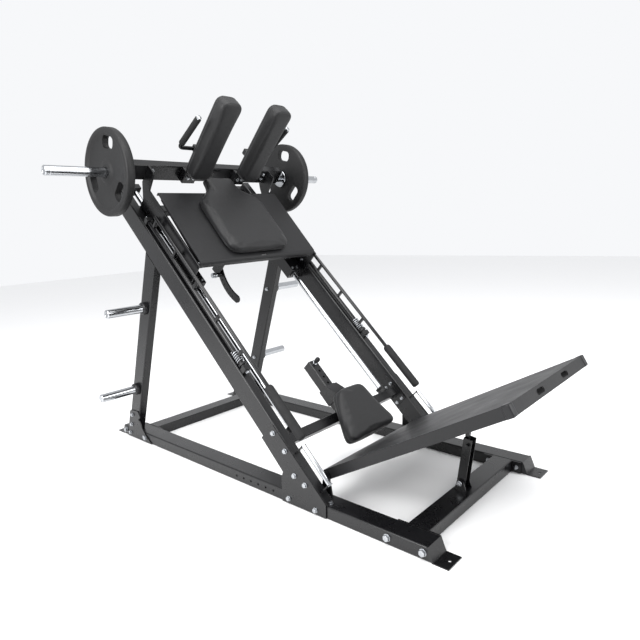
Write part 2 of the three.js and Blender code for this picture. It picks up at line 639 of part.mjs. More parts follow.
function bearingHousing(s0) {
  const inner = -ROD_OFFSET + HOUSING_DEPTH / 2;
  const outer = -SIDE_INNER + GAP;
  const half = HOUSING_DEPTH / 2;
  const body = block(outer, inner, s0, s0 + HOUSING_LENGTH, ROD_LEVEL - half, ROD_LEVEL + half);
  const caps = [s0 - 6, s0 + HOUSING_LENGTH - 2].map((s) =>
    bar('y', rodRadius + BUMPER_WALL, s, s + 8, -ROD_OFFSET, ROD_LEVEL, 16));
  const bore = bar('y', rodRadius + RUN, s0 - 20, s0 + HOUSING_LENGTH + 20, -ROD_OFFSET, ROD_LEVEL, 16);
  return cut(join(body, ...caps), bore);
}
placePair(incline, 'lower_bearing_housing', bearingHousing(HOUSING_LOW_S), blackPaint);
placePair(incline, 'upper_bearing_housing', bearingHousing(HOUSING_HIGH_S), blackPaint);

// The cross tube lies inside the sweep of the quadrant arm and carries the ear of its locking pin.
const pinS = HINGE_S + QUADRANT_RADIUS * cosOf(TILT_PIN_ANGLE);
const pinLevel = HINGE_LEVEL + QUADRANT_RADIUS * sinOf(TILT_PIN_ANGLE);
const EAR_X = QUADRANT_X - QUADRANT_THICK / 2 - 8;

function carriageCrossTube() {
  const reach = SIDE_INNER - GAP;
  const { ahead, overRod, size } = CARRIAGE_TUBE;
  const level = ROD_LEVEL + rodRadius + overRod + size / 2;
  const s = HINGE_S + ahead;
  const half = size / 2;
  const tube = alongX(boxTube(size, size, -reach, reach)).translate(0, s, level);
  const ear = block(EAR_X - 8, EAR_X, s - half - 14, s + half, pinLevel - 18, level - half + 1);
  const boss = bar('x', 13, EAR_X - 24, EAR_X - 4, pinS, pinLevel);
  const bore = bar('x', TILT_PIN_DIAMETER / 2 + RUN, EAR_X - 40, EAR_X + 10, pinS, pinLevel);
  return cut(join(tube, ear, boss), bore);
}
place(incline, 'carriage_cross_tube', carriageCrossTube(), blackPaint);

function tiltPin() {
  const tip = QUADRANT_X - QUADRANT_THICK / 2 - 0.5;
  const knobFace = EAR_X - 26;
  const radius = TILT_PIN_DIAMETER / 2;
  const profile = [[knobFace - 30, 0], [knobFace - 30, 13], [knobFace - 26, 16], [knobFace - 4, 16], [knobFace, 14],
    [knobFace, radius], [tip - 1, radius], [tip, radius - 1], [tip, 0]];
  return turned(profile, pinS, pinLevel, 14);
}
place(incline, 'tilt_pin', tiltPin(), zinc);

// ---------------------------------------------------------------- weight sleeves and plates
function weightSleeve() {
  const radius = SLEEVE_DIAMETER / 2;
  const flangeOut = PLATE_INNER_FACE - 2;
  const flangeIn = flangeOut - STOP_FLANGE;
  const root = BEAM_HALF + GAP;
  const profile = [[-SLEEVE_END, 0], [-SLEEVE_END, radius - 5], [-SLEEVE_END + 4, radius], [-flangeOut, radius],
    [-flangeOut, STOP_RADIUS], [-flangeIn, STOP_RADIUS], [-flangeIn, radius - 2], [-root, radius - 2], [-root, 0]];
  return turned(profile, SLEEVE_S, SLEEVE_LEVEL);
}
placePair(incline, 'weight_sleeve', weightSleeve(), chrome);

function weightPlate() {
  const radius = PLATE_DIAMETER / 2;
  const inner = -PLATE_INNER_FACE;
  const outer = inner - PLATE_THICK;
  const bore = SLEEVE_DIAMETER / 2 + RUN;
  const dish = 11;
  const profile = [[inner, bore], [outer + 4, bore], [outer + 4, 48], [outer + dish, 62], [outer + dish, radius - 42],
    [outer, radius - 30], [outer, radius - 8], [outer + 8, radius], [inner - 8, radius], [inner, radius - 8],
    [inner, bore]];
  const disc = turned(profile, 0, 0, 28);
  const openings = [90, 210, 330].map((angle) => {
    const shape = roundRect(PLATE_GRIP.width, PLATE_GRIP.height, PLATE_GRIP.corner);
    return slab(shape, outer - 5, inner + 5, 3).translate(0, 0, PLATE_GRIP.centre).rotateX(angle * DEG);
  });
  return cut(disc, ...openings).translate(0, SLEEVE_S, SLEEVE_LEVEL);
}
placePair(incline, 'weight_plate', weightPlate(), rubber);

// ---------------------------------------------------------------- press plate, quadrant and back pad
const press = new THREE.Group();       // local origin on the hinge, local Y up the plate
press.position.set(0, HINGE_S, HINGE_LEVEL);
press.rotation.x = PRESS_TILT * DEG;
incline.add(press);

const RIB_X = PRESS_HALF - 19;

function pressPlate() {
  const rollCentre = 5;
  const shape = new THREE.Shape();
  shape.moveTo(PRESS_LENGTH, PRESS_RISE - 12);
  shape.lineTo(PRESS_LENGTH, PRESS_TOP);
  shape.lineTo(rollCentre, PRESS_TOP);
  shape.absarc(rollCentre, PRESS_TOP - PRESS_ROLL, PRESS_ROLL, Math.PI / 2, Math.PI, false);
  shape.lineTo(rollCentre - PRESS_ROLL, -14);
  shape.lineTo(rollCentre - PRESS_ROLL + SHEET, -14);
  shape.lineTo(rollCentre - PRESS_ROLL + SHEET, PRESS_TOP - PRESS_ROLL);
  shape.absarc(rollCentre, PRESS_TOP - PRESS_ROLL, PRESS_ROLL - SHEET, Math.PI, Math.PI / 2, true);
  shape.lineTo(PRESS_LENGTH - SHEET, PRESS_RISE);
  shape.lineTo(PRESS_LENGTH - SHEET, PRESS_RISE - 12);
  shape.closePath();
  const sheet = slab(shape, -PRESS_HALF, PRESS_HALF, 6);
  const rib = outline([[-12, -20], [PRESS_LENGTH - 30, -6], [PRESS_LENGTH - 8, PRESS_RISE + 1],
    [-8, PRESS_RISE + 1]]);
  const ribs = [-1, 1].map((side) => slab(rib, side * RIB_X - 3, side * RIB_X + 3));
  const hinge = bar('x', HINGE_PIN / 2 + RUN, -PRESS_HALF, PRESS_HALF, 0, 0);
  const slot = block(-10, 34, -2, 8, PRESS_RISE - 4, PRESS_TOP + 2);
  return cut(join(sheet, ...ribs), hinge, slot);
}
place(press, 'press_plate', pressPlate(), pressPaint);

function quadrantArm() {
  const inner = QUADRANT_RADIUS - QUADRANT_WIDTH / 2;
  const outer = QUADRANT_RADIUS + QUADRANT_WIDTH / 2;
  const start = 12 * DEG;
  const tip = (TILT_PIN_ANGLE - QUADRANT_STEP * QUADRANT_HOLES - PRESS_TILT) * DEG;
  const shape = new THREE.Shape();
  shape.absarc(0, 0, outer, start, tip, true);
  const end = new THREE.Vector2(Math.cos(tip), Math.sin(tip)).multiplyScalar(QUADRANT_RADIUS);
  shape.absarc(end.x, end.y, QUADRANT_WIDTH / 2, tip, tip - Math.PI, true);
  shape.absarc(0, 0, inner, tip, start, false);
  shape.closePath();
  const arm = slab(shape, QUADRANT_X - QUADRANT_THICK / 2, QUADRANT_X + QUADRANT_THICK / 2, 10);
  const holes = Array.from({ length: QUADRANT_HOLES }, (_, i) => {
    const angle = TILT_PIN_ANGLE - PRESS_TILT - QUADRANT_STEP * i;
    return bar('x', TILT_PIN_DIAMETER / 2 + RUN, QUADRANT_X - 20, QUADRANT_X + 20,
      QUADRANT_RADIUS * cosOf(angle), QUADRANT_RADIUS * sinOf(angle), 8);
  });
  const overSheet = block(-200, 0, 0, 400, PRESS_RISE - GAP, 200);
  return cut(arm, overSheet, ...holes);
}
place(press, 'quadrant_arm', quadrantArm(), blackPaint);

function backPad() {
  const p = BACK_PAD;
  const corner = 80;
  const shape = new THREE.Shape();
  shape.moveTo(-p.half + corner, p.low);
  shape.lineTo(p.half - corner, p.low);
  shape.quadraticCurveTo(p.half, p.low, p.half, p.low + corner);
  shape.lineTo(p.half, p.shoulder);
  shape.bezierCurveTo(p.half, p.shoulder + 90, p.neck, p.taperEnd - 90, p.neck, p.taperEnd);
  shape.lineTo(p.neck, p.high - 30);
  shape.quadraticCurveTo(p.neck, p.high, p.neck - 30, p.high);
  shape.lineTo(-p.neck + 30, p.high);
  shape.quadraticCurveTo(-p.neck, p.high, -p.neck, p.high - 30);
  shape.lineTo(-p.neck, p.taperEnd);
  shape.bezierCurveTo(-p.neck, p.taperEnd - 90, -p.half, p.shoulder + 90, -p.half, p.shoulder);
  shape.lineTo(-p.half, p.low + corner);
  shape.quadraticCurveTo(-p.half, p.low, -p.half + corner, p.low);
  const bevel = 10;
  const options = { depth: p.thick - bevel, bevelEnabled: true, bevelThickness: bevel / 2, bevelSize: bevel,
    bevelOffset: -bevel, bevelSegments: 2, curveSegments: 5 };
  return new THREE.ExtrudeGeometry(shape, options).translate(0, 0, PRESS_TOP + GAP + bevel / 2);
}
place(press, 'back_pad', backPad(), vinyl);

// ---------------------------------------------------------------- shoulder pads and hack handles
function shoulderPad() {
  const p = SHOULDER_PAD;
  const bevel = 12;
  const options = { depth: p.thick - 2 * bevel, bevelEnabled: true, bevelThickness: bevel, bevelSize: bevel,
    bevelOffset: -bevel, bevelSegments: 2, curveSegments: 3 };
  const shape = roundRect(p.outer - p.inner, p.high - p.low, p.corner);
  return alongY(new THREE.ExtrudeGeometry(shape, options))
    .translate(-(p.inner + p.outer) / 2, PAD_BACK - p.thick + bevel, (p.low + p.high) / 2);
}
placePair(incline, 'shoulder_pad', shoulderPad(), vinyl);

function shoulderArm() {
  const p = SHOULDER_PAD;
  const plateX = [-(p.outer - 28), -(p.inner + 28)];
  const front = PAD_BACK + GAP;
  const back = BEAM_LOW - GAP;
  const backing = block(...plateX, front, front + 8, BEAM_BOTTOM + 20, p.high - 60);
  const foot = block(...plateX, front + 4, back, BEAM_BOTTOM + 20, BEAM_TOP);
  const bearingHalf = HANDLE.diameter / 2 + 6;
  const bearing = block(...plateX, front + 4, HANDLE_S + bearingHalf, HANDLE.level - bearingHalf,
    HANDLE.level + bearingHalf);
  const gusset = slab(outline([[front + 6, BEAM_TOP - 1], [back, BEAM_TOP - 1], [front + 8, HANDLE.level]]),
    plateX[0] + 30, plateX[0] + 38);
  const bore = bar('x', HANDLE.diameter / 2 + RUN, plateX[0] - 5, plateX[1] - 14, HANDLE_S, HANDLE.level, 12);
  return cut(join(backing, foot, bearing, gusset), bore);
}
placePair(incline, 'shoulder_arm', shoulderArm(), blackPaint);

function handleGroup(side) {
  const group = new THREE.Group();
  group.position.set(side * HANDLE_X, HANDLE_S, HANDLE.level);
  group.rotation.x = HANDLE.lean * DEG;
  incline.add(group);
  return group;
}

function hackHandle(side) {
  const inward = -side;
  const reach = HANDLE_X - SHOULDER_PAD.inner - 46;
  const top = HANDLE.gripStart + HANDLE.gripLength + 14;
  const points = [[inward * reach, 0], [0, 0], [0, top]];
  const path = bendPath(points.map(([x, z]) => new THREE.Vector3(x, 0, z)), HANDLE.diameter + 2);
  return bentBar(path, HANDLE.diameter / 2, 16, 10);
}

function hackGrip() {
  const sides = 14;
  const inner = HANDLE.diameter / 2 / Math.cos(Math.PI / sides) + GAP;
  const outer = HANDLE.grip / 2;
  const start = HANDLE.gripStart;
  const end = start + HANDLE.gripLength;
  const profile = [[inner, start], [outer - 3, start], [outer, start + 6], [outer, end - 6], [outer - 3, end],
    [inner, end], [inner, start]];
  return lathed(profile, sides).rotateX(Math.PI / 2);
}

[['left', -1], ['right', 1]].forEach(([word, side]) => {
  const group = handleGroup(side);
  place(group, `hack_handle_${word}`, hackHandle(side), blackPaint);
  place(group, `hack_grip_${word}`, hackGrip(), rubber);
});

// ---------------------------------------------------------------- seat
const postHalf = SEAT_POST / 2;
const STOP_PIN_S = SEAT_POST_TOP - STOP_PIN_INSET;

function seatPost() {
  const tube = alongY(boxTube(SEAT_POST, SEAT_POST, ROD_LOW + GAP, SEAT_POST_TOP, SEAT_POST_WALL))
    .translate(0, 0, ROD_LEVEL);
  const top = ROD_LEVEL + postHalf;
  const holes = [0, 1, 2, 3].map((i) => bar('z', 7, top - 8, top + 4, 0, STOP_PIN_S - 50 - 40 * i, 8));
  const pinHole = bar('z', STOP_PIN_DIAMETER / 2 + RUN, top - 8, top + 4, 0, STOP_PIN_S, 12);
  return cut(tube, ...holes, pinHole);
}
place(incline, 'seat_post', seatPost(), blackPaint);

function seatStopPin() {
  const face = ROD_LEVEL + postHalf + GAP;
  const r = STOP_PIN_DIAMETER / 2;
  const profile = [[0, face - 26], [r - 1, face - 26], [r, face - 24], [r, face], [13, face], [13, face + 8], [8, face + 10],
    [8, face + 16], [12, face + 20], [12, face + 42], [9, face + 46], [0, face + 46]];
  return lathed(profile, 12).rotateX(Math.PI / 2).translate(0, STOP_PIN_S, 0);
}
place(incline, 'seat_stop_pin', seatStopPin(), zinc);

// Height of the seat pad's underside.
const seatUnder = (s) => SEAT_BOTTOM + (s - SEAT.low) * Math.tan(SEAT.tilt * DEG);

function seatCarrier() {
  const end = SEAT_SLEEVE.low + SEAT_SLEEVE.length;
  const size = 2 * SEAT_SLEEVE_HALF;
  const sleeve = alongY(boxTube(size, size, SEAT_SLEEVE.low, end, SEAT_SLEEVE.wall, 6))
    .translate(0, 0, ROD_LEVEL);
  const roof = ROD_LEVEL + SEAT_SLEEVE_HALF - 1;
  const armLow = SEAT.low + 40;
  const armHigh = SEAT.high - 4;
  const shape = outline([[armLow, seatUnder(armLow) - GAP], [armHigh, seatUnder(armHigh) - GAP], [end - 4, roof + 3],
    [end - 4, roof], [SEAT_SLEEVE.low, roof], [armLow, roof]]);
  return join(sleeve, slab(shape, -45, 45));
}
place(incline, 'seat_carrier', seatCarrier(), blackPaint);

function seatPad() {
  const length = (SEAT.high - SEAT.low) / cosOf(SEAT.tilt);
  const corner = 46;
  const f = SEAT.frontHalf;
  const b = SEAT.backHalf;
  const shape = new THREE.Shape();
  shape.moveTo(-f + corner, 0);
  shape.lineTo(f - corner, 0);
  shape.quadraticCurveTo(f, 0, f - 12, corner);
  shape.lineTo(b + 12, length - corner);
  shape.quadraticCurveTo(b, length, b - corner, length);
  shape.lineTo(-b + corner, length);
  shape.quadraticCurveTo(-b, length, -b - 12, length - corner);
  shape.lineTo(-f + 12, corner);
  shape.quadraticCurveTo(-f, 0, -f + corner, 0);
  const bevel = 10;
  const options = { depth: SEAT.thick - 2 * bevel, bevelEnabled: true, bevelThickness: bevel, bevelSize: bevel,
    bevelOffset: -bevel, bevelSegments: 2, curveSegments: 4 };
  return new THREE.ExtrudeGeometry(shape, options).translate(0, 0, bevel)
    .rotateX(SEAT.tilt * DEG).translate(0, SEAT.low, SEAT_BOTTOM);
}
place(incline, 'seat_pad', seatPad(), vinyl);

// ---------------------------------------------------------------- foot platform and its prop
function footPlatform() {
  const wall = PLATFORM_SHEET;
  const inner = PLATFORM_HALF - wall;
  const tray = block(-PLATFORM_HALF, PLATFORM_HALF, -PLATFORM_LENGTH, 0, -PLATFORM_FLANGE, 0);
  const hollow = block(-inner, inner, -PLATFORM_LENGTH + wall, -wall, -PLATFORM_FLANGE - 5, -wall);
  const pinHole = bar('x', PLATFORM_HINGE.pin / 2 + RUN, -PLATFORM_HALF - 5, PLATFORM_HALF + 5,
    -PLATFORM_HINGE.back, -PLATFORM_HINGE.down);
  const options = { depth: 3 * wall, bevelEnabled: false, curveSegments: 4 };
  const slots = [-1, 1].map((side) => alongY(new THREE.ExtrudeGeometry(roundRect(70, 22, 10.9), options))
    .translate(side * 130, -PLATFORM_LENGTH - wall, -PLATFORM_FLANGE / 2));
  const ribFace = STIFFENER_INSET - PLATFORM_LENGTH;
  const stiffener = block(-inner - 1, inner + 1, ribFace, ribFace + wall, 6 - PLATFORM_FLANGE, 1 - wall);
  return cut(join(cut(tray, hollow), stiffener), pinHole, ...slots);
}
place(platform, 'foot_platform', footPlatform(), pressPaint);

// The prop's rear top corner stops just under the platform's sheet.
function propLength() {
  const under = PLATFORM_SHEET + 1;
  const edgeY = PLATFORM_EDGE.y - under * sinOf(PLATFORM_ANGLE);
  const edgeZ = PLATFORM_EDGE.z - under * cosOf(PLATFORM_ANGLE);
  const cornerY = PROP_Y + (PROP.depth / 2) * cosOf(PROP.lean);
  const cornerZ = PROP.z + (PROP.depth / 2) * sinOf(PROP.lean);
  const slope = Math.tan(PLATFORM_ANGLE * DEG);
  const rise = edgeZ + (edgeY - cornerY) * slope - cornerZ;
  return rise / (cosOf(PROP.lean) - sinOf(PROP.lean) * slope);
}

// A channel with a slimmer bar standing in its upper end.
function propStrut() {
  const half = PROP.width / 2;
  const depth = PROP.depth / 2;
  const inner = half - PROP.wall;
  const top = PROP.channel;
  const body = block(-half, half, -depth, depth, -PROP.below, top);
  const channel = block(-inner, inner, -depth - 1, depth - PROP.wall, -PROP.below - 8, top + 8);
  const barFace = depth - 18;
  const upper = block(-inner / 2, inner / 2, barFace, depth, top - 60, propLength());
  const pinHole = bar('x', PROP.pin / 2 + RUN, -half - 5, half + 5, 0, 0);
  const crossPin = bar('x', 7, -half - 14, half + 14, -4, top - 28, 12);
  return cut(join(cut(body, channel), upper, crossPin), pinHole);
}
place(prop, 'prop_strut', propStrut(), blackPaint);

export default machine;
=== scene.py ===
import bpy
import bmesh
import json
from math import radians, sin, cos, pi
from mathutils import Matrix, Vector


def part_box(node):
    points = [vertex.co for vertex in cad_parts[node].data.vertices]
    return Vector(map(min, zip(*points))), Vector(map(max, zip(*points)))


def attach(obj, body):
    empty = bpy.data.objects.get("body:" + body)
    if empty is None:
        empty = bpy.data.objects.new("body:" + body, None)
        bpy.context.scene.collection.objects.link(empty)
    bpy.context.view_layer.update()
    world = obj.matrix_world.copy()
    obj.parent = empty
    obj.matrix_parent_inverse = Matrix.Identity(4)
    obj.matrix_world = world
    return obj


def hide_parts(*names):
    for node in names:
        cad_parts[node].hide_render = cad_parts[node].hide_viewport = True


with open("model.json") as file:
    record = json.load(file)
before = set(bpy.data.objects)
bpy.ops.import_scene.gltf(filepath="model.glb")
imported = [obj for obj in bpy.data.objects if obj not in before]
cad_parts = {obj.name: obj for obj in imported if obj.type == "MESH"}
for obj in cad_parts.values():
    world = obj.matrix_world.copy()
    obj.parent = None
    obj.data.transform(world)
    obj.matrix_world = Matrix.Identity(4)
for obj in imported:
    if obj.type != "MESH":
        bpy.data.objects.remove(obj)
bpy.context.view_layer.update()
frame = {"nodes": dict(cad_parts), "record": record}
nodes = frame["nodes"]
bodyOf = {node: body for body, names in frame["record"]["behaviour"]["bodies"].items() for node in names}
sides = {"left": -1, "right": 1}
print("frame loaded:", len(nodes), "nodes")

# the base is even about its own middle, and the rail plan starts there
baseLow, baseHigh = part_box("base_rail_left")
planStart = (baseLow[1] + baseHigh[1]) / 2
railTurn = Matrix.Translation((0, planStart, 0)) @ Matrix.Rotation(radians(45), 4, "X")
upRail = (railTurn.to_3x3() @ Vector((0, 1, 0))).normalized()
offRail = (railTurn.to_3x3() @ Vector((0, 0, 1))).normalized()
across = Vector((1, 0, 0))


# a point s up the rails and n over them, in millimetres
def onRail(x, s, n):
    return railTurn @ Vector((x / 1000, s / 1000, n / 1000))


def onPlan(x, y, z):
    return Vector((x / 1000, y / 1000 + planStart, z / 1000))


# camera first: eye height of someone standing at the front left corner
cameraPlace = {"at": (-2.0977, -1.9739, 1.2605), "yaw": -47.8, "pitch": 10.1, "roll": -2.8, "lens": 30.79}


def addCamera():
    yaw, pitch, roll = (radians(cameraPlace[key]) for key in ("yaw", "pitch", "roll"))
    back = Vector((sin(yaw) * cos(pitch), -cos(yaw) * cos(pitch), sin(pitch)))
    right = (-back).cross(Vector((0, 0, 1))).normalized()
    up = back.cross(right)
    rolledRight = cos(roll) * right + sin(roll) * up
    rolledUp = cos(roll) * up - sin(roll) * right
    data = bpy.data.cameras.new("studioCamera")
    data.lens = cameraPlace["lens"]
    data.sensor_width = 36
    data.clip_end = 60
    camera = bpy.data.objects.new("studioCamera", data)
    bpy.context.scene.collection.objects.link(camera)
    turn = Matrix((rolledRight, rolledUp, back)).transposed().to_4x4()
    camera.matrix_world = Matrix.Translation(cameraPlace["at"]) @ turn
    bpy.context.scene.camera = camera


addCamera()


def linearColour(hexValue):
    parts = [int(hexValue[i:i + 2], 16) / 255 for i in (1, 3, 5)]
    return tuple(p / 12.92 if p <= 0.04045 else ((p + 0.055) / 1.055) ** 2.4 for p in parts) + (1.0,)


# adds a node; settings are sockets or properties, links are sockets fed by outputs
def addNode(tree, kind, settings=None, links=None):
    node = tree.nodes.new(kind)
    for key, value in (settings or {}).items():
        if isinstance(key, int) or key in node.inputs:
            node.inputs[key].default_value = value
        else:
            setattr(node, key, value)
    for key, socket in (links or {}).items():
        tree.links.new(socket, node.inputs[key])
    return node


def startMaterial(name):
    material = bpy.data.materials.new(name)
    material.use_nodes = True
    tree = material.node_tree
    shader = tree.nodes["Principled BSDF"]
    place = addNode(tree, "ShaderNodeTexCoord").outputs["Object"]
    return material, tree, shader, place


# mottled colour, roughness that follows it, and a fine grain in the surface
def mottledFinish(name, look):
    material, tree, shader, place = startMaterial(name)
    cloud = addNode(tree, "ShaderNodeTexNoise", {"Scale": 1 / look["patch"], "Detail": 5.0, "Roughness": 0.6},
                    {"Vector": place})
    tint = addNode(tree, "ShaderNodeMix",
                   {"data_type": "RGBA", 6: linearColour(look["dark"]), 7: linearColour(look["light"])},
                   {0: cloud.outputs["Fac"]})
    rough = addNode(tree, "ShaderNodeMapRange",
                    {"From Min": 0.3, "From Max": 0.7, "To Min": look["rough"][0], "To Max": look["rough"][1]},
                    {"Value": cloud.outputs["Fac"]})
    grain = addNode(tree, "ShaderNodeTexNoise", {"Scale": 1 / look["grain"], "Detail": 3.0, "Roughness": 0.55},
                    {"Vector": place})
    bump = addNode(tree, "ShaderNodeBump", {"Strength": look["strength"], "Distance": look["depth"]},
                   {"Height": grain.outputs["Fac"]})
    tree.links.new(tint.outputs[2], shader.inputs["Base Color"])
    tree.links.new(rough.outputs["Result"], shader.inputs["Roughness"])
    tree.links.new(bump.outputs["Normal"], shader.inputs["Normal"])
    shader.inputs["Metallic"].default_value = look.get("metallic", 0.0)
    shader.inputs["Specular IOR Level"].default_value = look.get("specular", 0.32)
    shader.inputs["Coat Weight"].default_value = look.get("coat", 0.0)
    shader.inputs["Coat Roughness"].default_value = look.get("coatRough", 0.2)
    if "ior" in look:
        shader.inputs["IOR"].default_value = look["ior"]
    return material


# Polyester powder coat baked on steel tube: near black, satin, with the faint orange peel of the melted
# powder. Real peel is 1 to 2 mm across; it is drawn at 5 mm so that it can be seen.
satinPowderCoat = mottledFinish("satinPowderCoat", {
    "dark": "#0A0A0B", "light": "#101012", "patch": 0.09, "rough": (0.24, 0.33), "grain": 0.005, "depth": 0.0004,
    "strength": 0.22, "ior": 1.52, "coat": 0.12, "coatRough": 0.22})

# Textured powder coat on the two big sheets: the same paint with a sandy grain that spreads reflections,
# real grit 0.4 mm, drawn at 3 mm.
texturedPowderCoat = mottledFinish("texturedPowderCoat", {
    "dark": "#0E0E0F", "light": "#151517", "patch": 0.14, "rough": (0.42, 0.54), "grain": 0.003, "depth": 0.0005,
    "strength": 0.4, "ior": 1.5})

# Hard chrome on ground steel bar: a clear mirror with faint handling marks.
groundChrome = mottledFinish("groundChrome", {
    "dark": "#A4A6A9", "light": "#BFC1C4", "patch": 0.03, "rough": (0.08, 0.2), "grain": 0.009, "depth": 0.0001,
    "strength": 0.06, "metallic": 1.0})

# Bright zinc plate on bolts, washers, springs and pins: pale and slightly cloudy.
brightZinc = mottledFinish("brightZinc", {
    "dark": "#96999D", "light": "#BCBEC1", "patch": 0.012, "rough": (0.2, 0.36), "grain": 0.002, "depth": 0.0001,
    "strength": 0.1, "metallic": 1.0})

# Moulded rubber over iron weight plates: dull, with the fine pebble of a spark eroded mould, 1 mm, drawn at 4 mm.
mouldedRubber = mottledFinish("mouldedRubber", {
    "dark": "#0B0B0C", "light": "#111112", "patch": 0.06, "rough": (0.48, 0.6), "grain": 0.004, "depth": 0.0005,
    "strength": 0.32, "ior": 1.52})

# Closed cell foam rubber sleeves on the handles: softer and greyer than the plates.
foamRubber = mottledFinish("foamRubber", {
    "dark": "#0D0D0E", "light": "#141415", "patch": 0.03, "rough": (0.62, 0.75), "grain": 0.003, "depth": 0.0006,
    "strength": 0.4, "ior": 1.5})

# Moulded polyethylene caps in the tube ends: smooth and a little greyer than the paint.
mouldedCap = mottledFinish("mouldedCap", {
    "dark": "#0E0E10", "light": "#151517", "patch": 0.05, "rough": (0.34, 0.44), "grain": 0.004, "depth": 0.0002,
    "strength": 0.15, "ior": 1.5})


# PVC coated fabric on the pads: embossed leather grain of rounded cells, 1.5 mm, drawn at 4 mm,
# shallow enough to leave a soft sheen along the crowned edges.
def makeVinyl():
    material, tree, shader, place = startMaterial("embossedVinyl")
    cells = addNode(tree, "ShaderNodeTexVoronoi",
                    {"feature": "SMOOTH_F1", "Scale": 1 / 0.004, "Smoothness": 0.6}, {"Vector": place})
    cloud = addNode(tree, "ShaderNodeTexNoise", {"Scale": 1 / 0.07, "Detail": 4.0}, {"Vector": place})
    tint = addNode(tree, "ShaderNodeMix",
                   {"data_type": "RGBA", 6: linearColour("#0C0C0D"), 7: linearColour("#121214")},
                   {0: cloud.outputs["Fac"]})
    rough = addNode(tree, "ShaderNodeMapRange", {"From Min": 0.0, "From Max": 0.8, "To Min": 0.42, "To Max": 0.56},
                    {"Value": cells.outputs["Distance"]})
    bump = addNode(tree, "ShaderNodeBump", {"Strength": 0.3, "Distance": 0.0004, "invert": True},
                   {"Height": cells.outputs["Distance"]})
    tree.links.new(tint.outputs[2], shader.inputs["Base Color"])
    tree.links.new(rough.outputs["Result"], shader.inputs["Roughness"])
    tree.links.new(bump.outputs["Normal"], shader.inputs["Normal"])
    shader.inputs["IOR"].default_value = 1.5
    shader.inputs["Specular IOR Level"].default_value = 0.34
    shader.inputs["Sheen Weight"].default_value = 0.04
    return material


embossedVinyl = makeVinyl()
print("materials made")


# turns a finished bmesh into a piece that rides on a body
def makePiece(name, bm, material, body, replaced=(), angle=35):
    mesh = bpy.data.meshes.new(name)
    bm.to_mesh(mesh)
    bm.free()
    mesh.materials.append(material)
    mesh.shade_smooth()
    mesh.set_sharp_from_angle(angle=radians(angle))
    piece = bpy.data.objects.new(name, mesh)
    bpy.context.scene.collection.objects.link(piece)
    if replaced:
        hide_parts(*replaced)
    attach(piece, body)
    return piece


# solid of revolution: (along, radius) pairs in millimetres about an axis
def turned(bm, profile, centre, axis, steps=56):
    part = bmesh.new()
    side = axis.orthogonal().normalized()
    points = [part.verts.new(centre + axis * (along / 1000) + side * (radius / 1000)) for along, radius in profile]
    edges = [part.edges.new(pair) for pair in zip(points, points[1:])]
    bmesh.ops.spin(part, geom=points + edges, cent=centre, axis=axis, angle=2 * pi, steps=steps, use_merge=True)
    bmesh.ops.remove_doubles(part, verts=part.verts, dist=1e-6)
    bmesh.ops.recalc_face_normals(part, faces=part.faces)
    addTo(bm, part)


def addTo(bm, part):
    mesh = bpy.data.meshes.new("part")
    part.to_mesh(mesh)
    part.free()
    bm.from_mesh(mesh)
    bpy.data.meshes.remove(mesh)


# round bar between two points with eased rims
def addRod(bm, start, end, radius, ease=0.0012, segments=40):
    part = bmesh.new()
    run = end - start
    place = Matrix.Translation((start + end) / 2) @ run.to_track_quat("Z", "Y").to_matrix().to_4x4()
    bmesh.ops.create_cone(part, cap_ends=True, segments=segments, radius1=radius, radius2=radius,
                          depth=run.length, matrix=place)
    rims = [e for e in part.edges if e.calc_face_angle(0) > radians(60)]
    bmesh.ops.bevel(part, geom=rims, offset=ease, affect="EDGES", segments=2, profile=0.5, material=-1)
    addTo(bm, part)


# box with eased edges; turn lays its sides along the rails, the floor or a lean
def addBox(bm, centre, size, turn=Matrix(), ease=0.002, segments=2):
    part = bmesh.new()
    place = Matrix.Translation(centre) @ turn @ Matrix.Diagonal((*size, 1))
    bmesh.ops.create_cube(part, size=1, matrix=place)
    bmesh.ops.bevel(part, geom=part.edges[:], offset=ease, affect="EDGES", segments=segments, profile=0.5,
                    material=-1)
    addTo(bm, part)


# hexagon head with a washer under it, standing on a face
def addBolt(bm, point, facing, flats=19):
    part = bmesh.new()
    turn = facing.to_track_quat("Z", "Y").to_matrix().to_4x4()
    for depth, radius, segments, start in ((0.0022, flats * 0.00066, 24, 0),
                                           (flats * 0.00042, flats / 2000 / cos(radians(30)), 6, 0.0022)):
        place = Matrix.Translation(point + facing * (start + depth / 2)) @ turn
        bmesh.ops.create_cone(part, cap_ends=True, segments=segments, radius1=radius, radius2=radius,
                              depth=depth, matrix=place)
    rims = [e for e in part.edges if e.calc_face_angle(0) > radians(70)]
    bmesh.ops.bevel(part, geom=rims, offset=0.0008, affect="EDGES", segments=2, profile=0.5, material=-1)
    addTo(bm, part)


# bar bent along straight runs joined by round bends, made from a curve and baked to a mesh
def bentBar(bm, points, radius, bend, closedEnds=True):
    route = [points[0]]
    for before, corner, after in zip(points, points[1:], points[2:]):
        start = corner + (before - corner).normalized() * bend
        end = corner + (after - corner).normalized() * bend
        for step in range(11):
            t = step / 10
            route.append((1 - t) ** 2 * start + 2 * t * (1 - t) * corner + t * t * end)
    route.append(points[-1])
    addWire(bm, route, radius, closedEnds)


def addWire(bm, route, radius, closedEnds=True, resolution=6):
    curve = bpy.data.curves.new("route", "CURVE")
    curve.dimensions = "3D"
    curve.bevel_depth = radius
    curve.bevel_resolution = resolution
    curve.use_fill_caps = closedEnds
    spline = curve.splines.new("POLY")
    spline.points.add(len(route) - 1)
    for point, place in zip(spline.points, route):
        point.co = (*place, 1)
    holder = bpy.data.objects.new("route", curve)
    bpy.context.scene.collection.objects.link(holder)
    baked = bpy.data.meshes.new_from_object(holder)
    bm.from_mesh(baked)
    bpy.data.objects.remove(holder)
    bpy.data.curves.remove(curve)
    bpy.data.meshes.remove(baked)


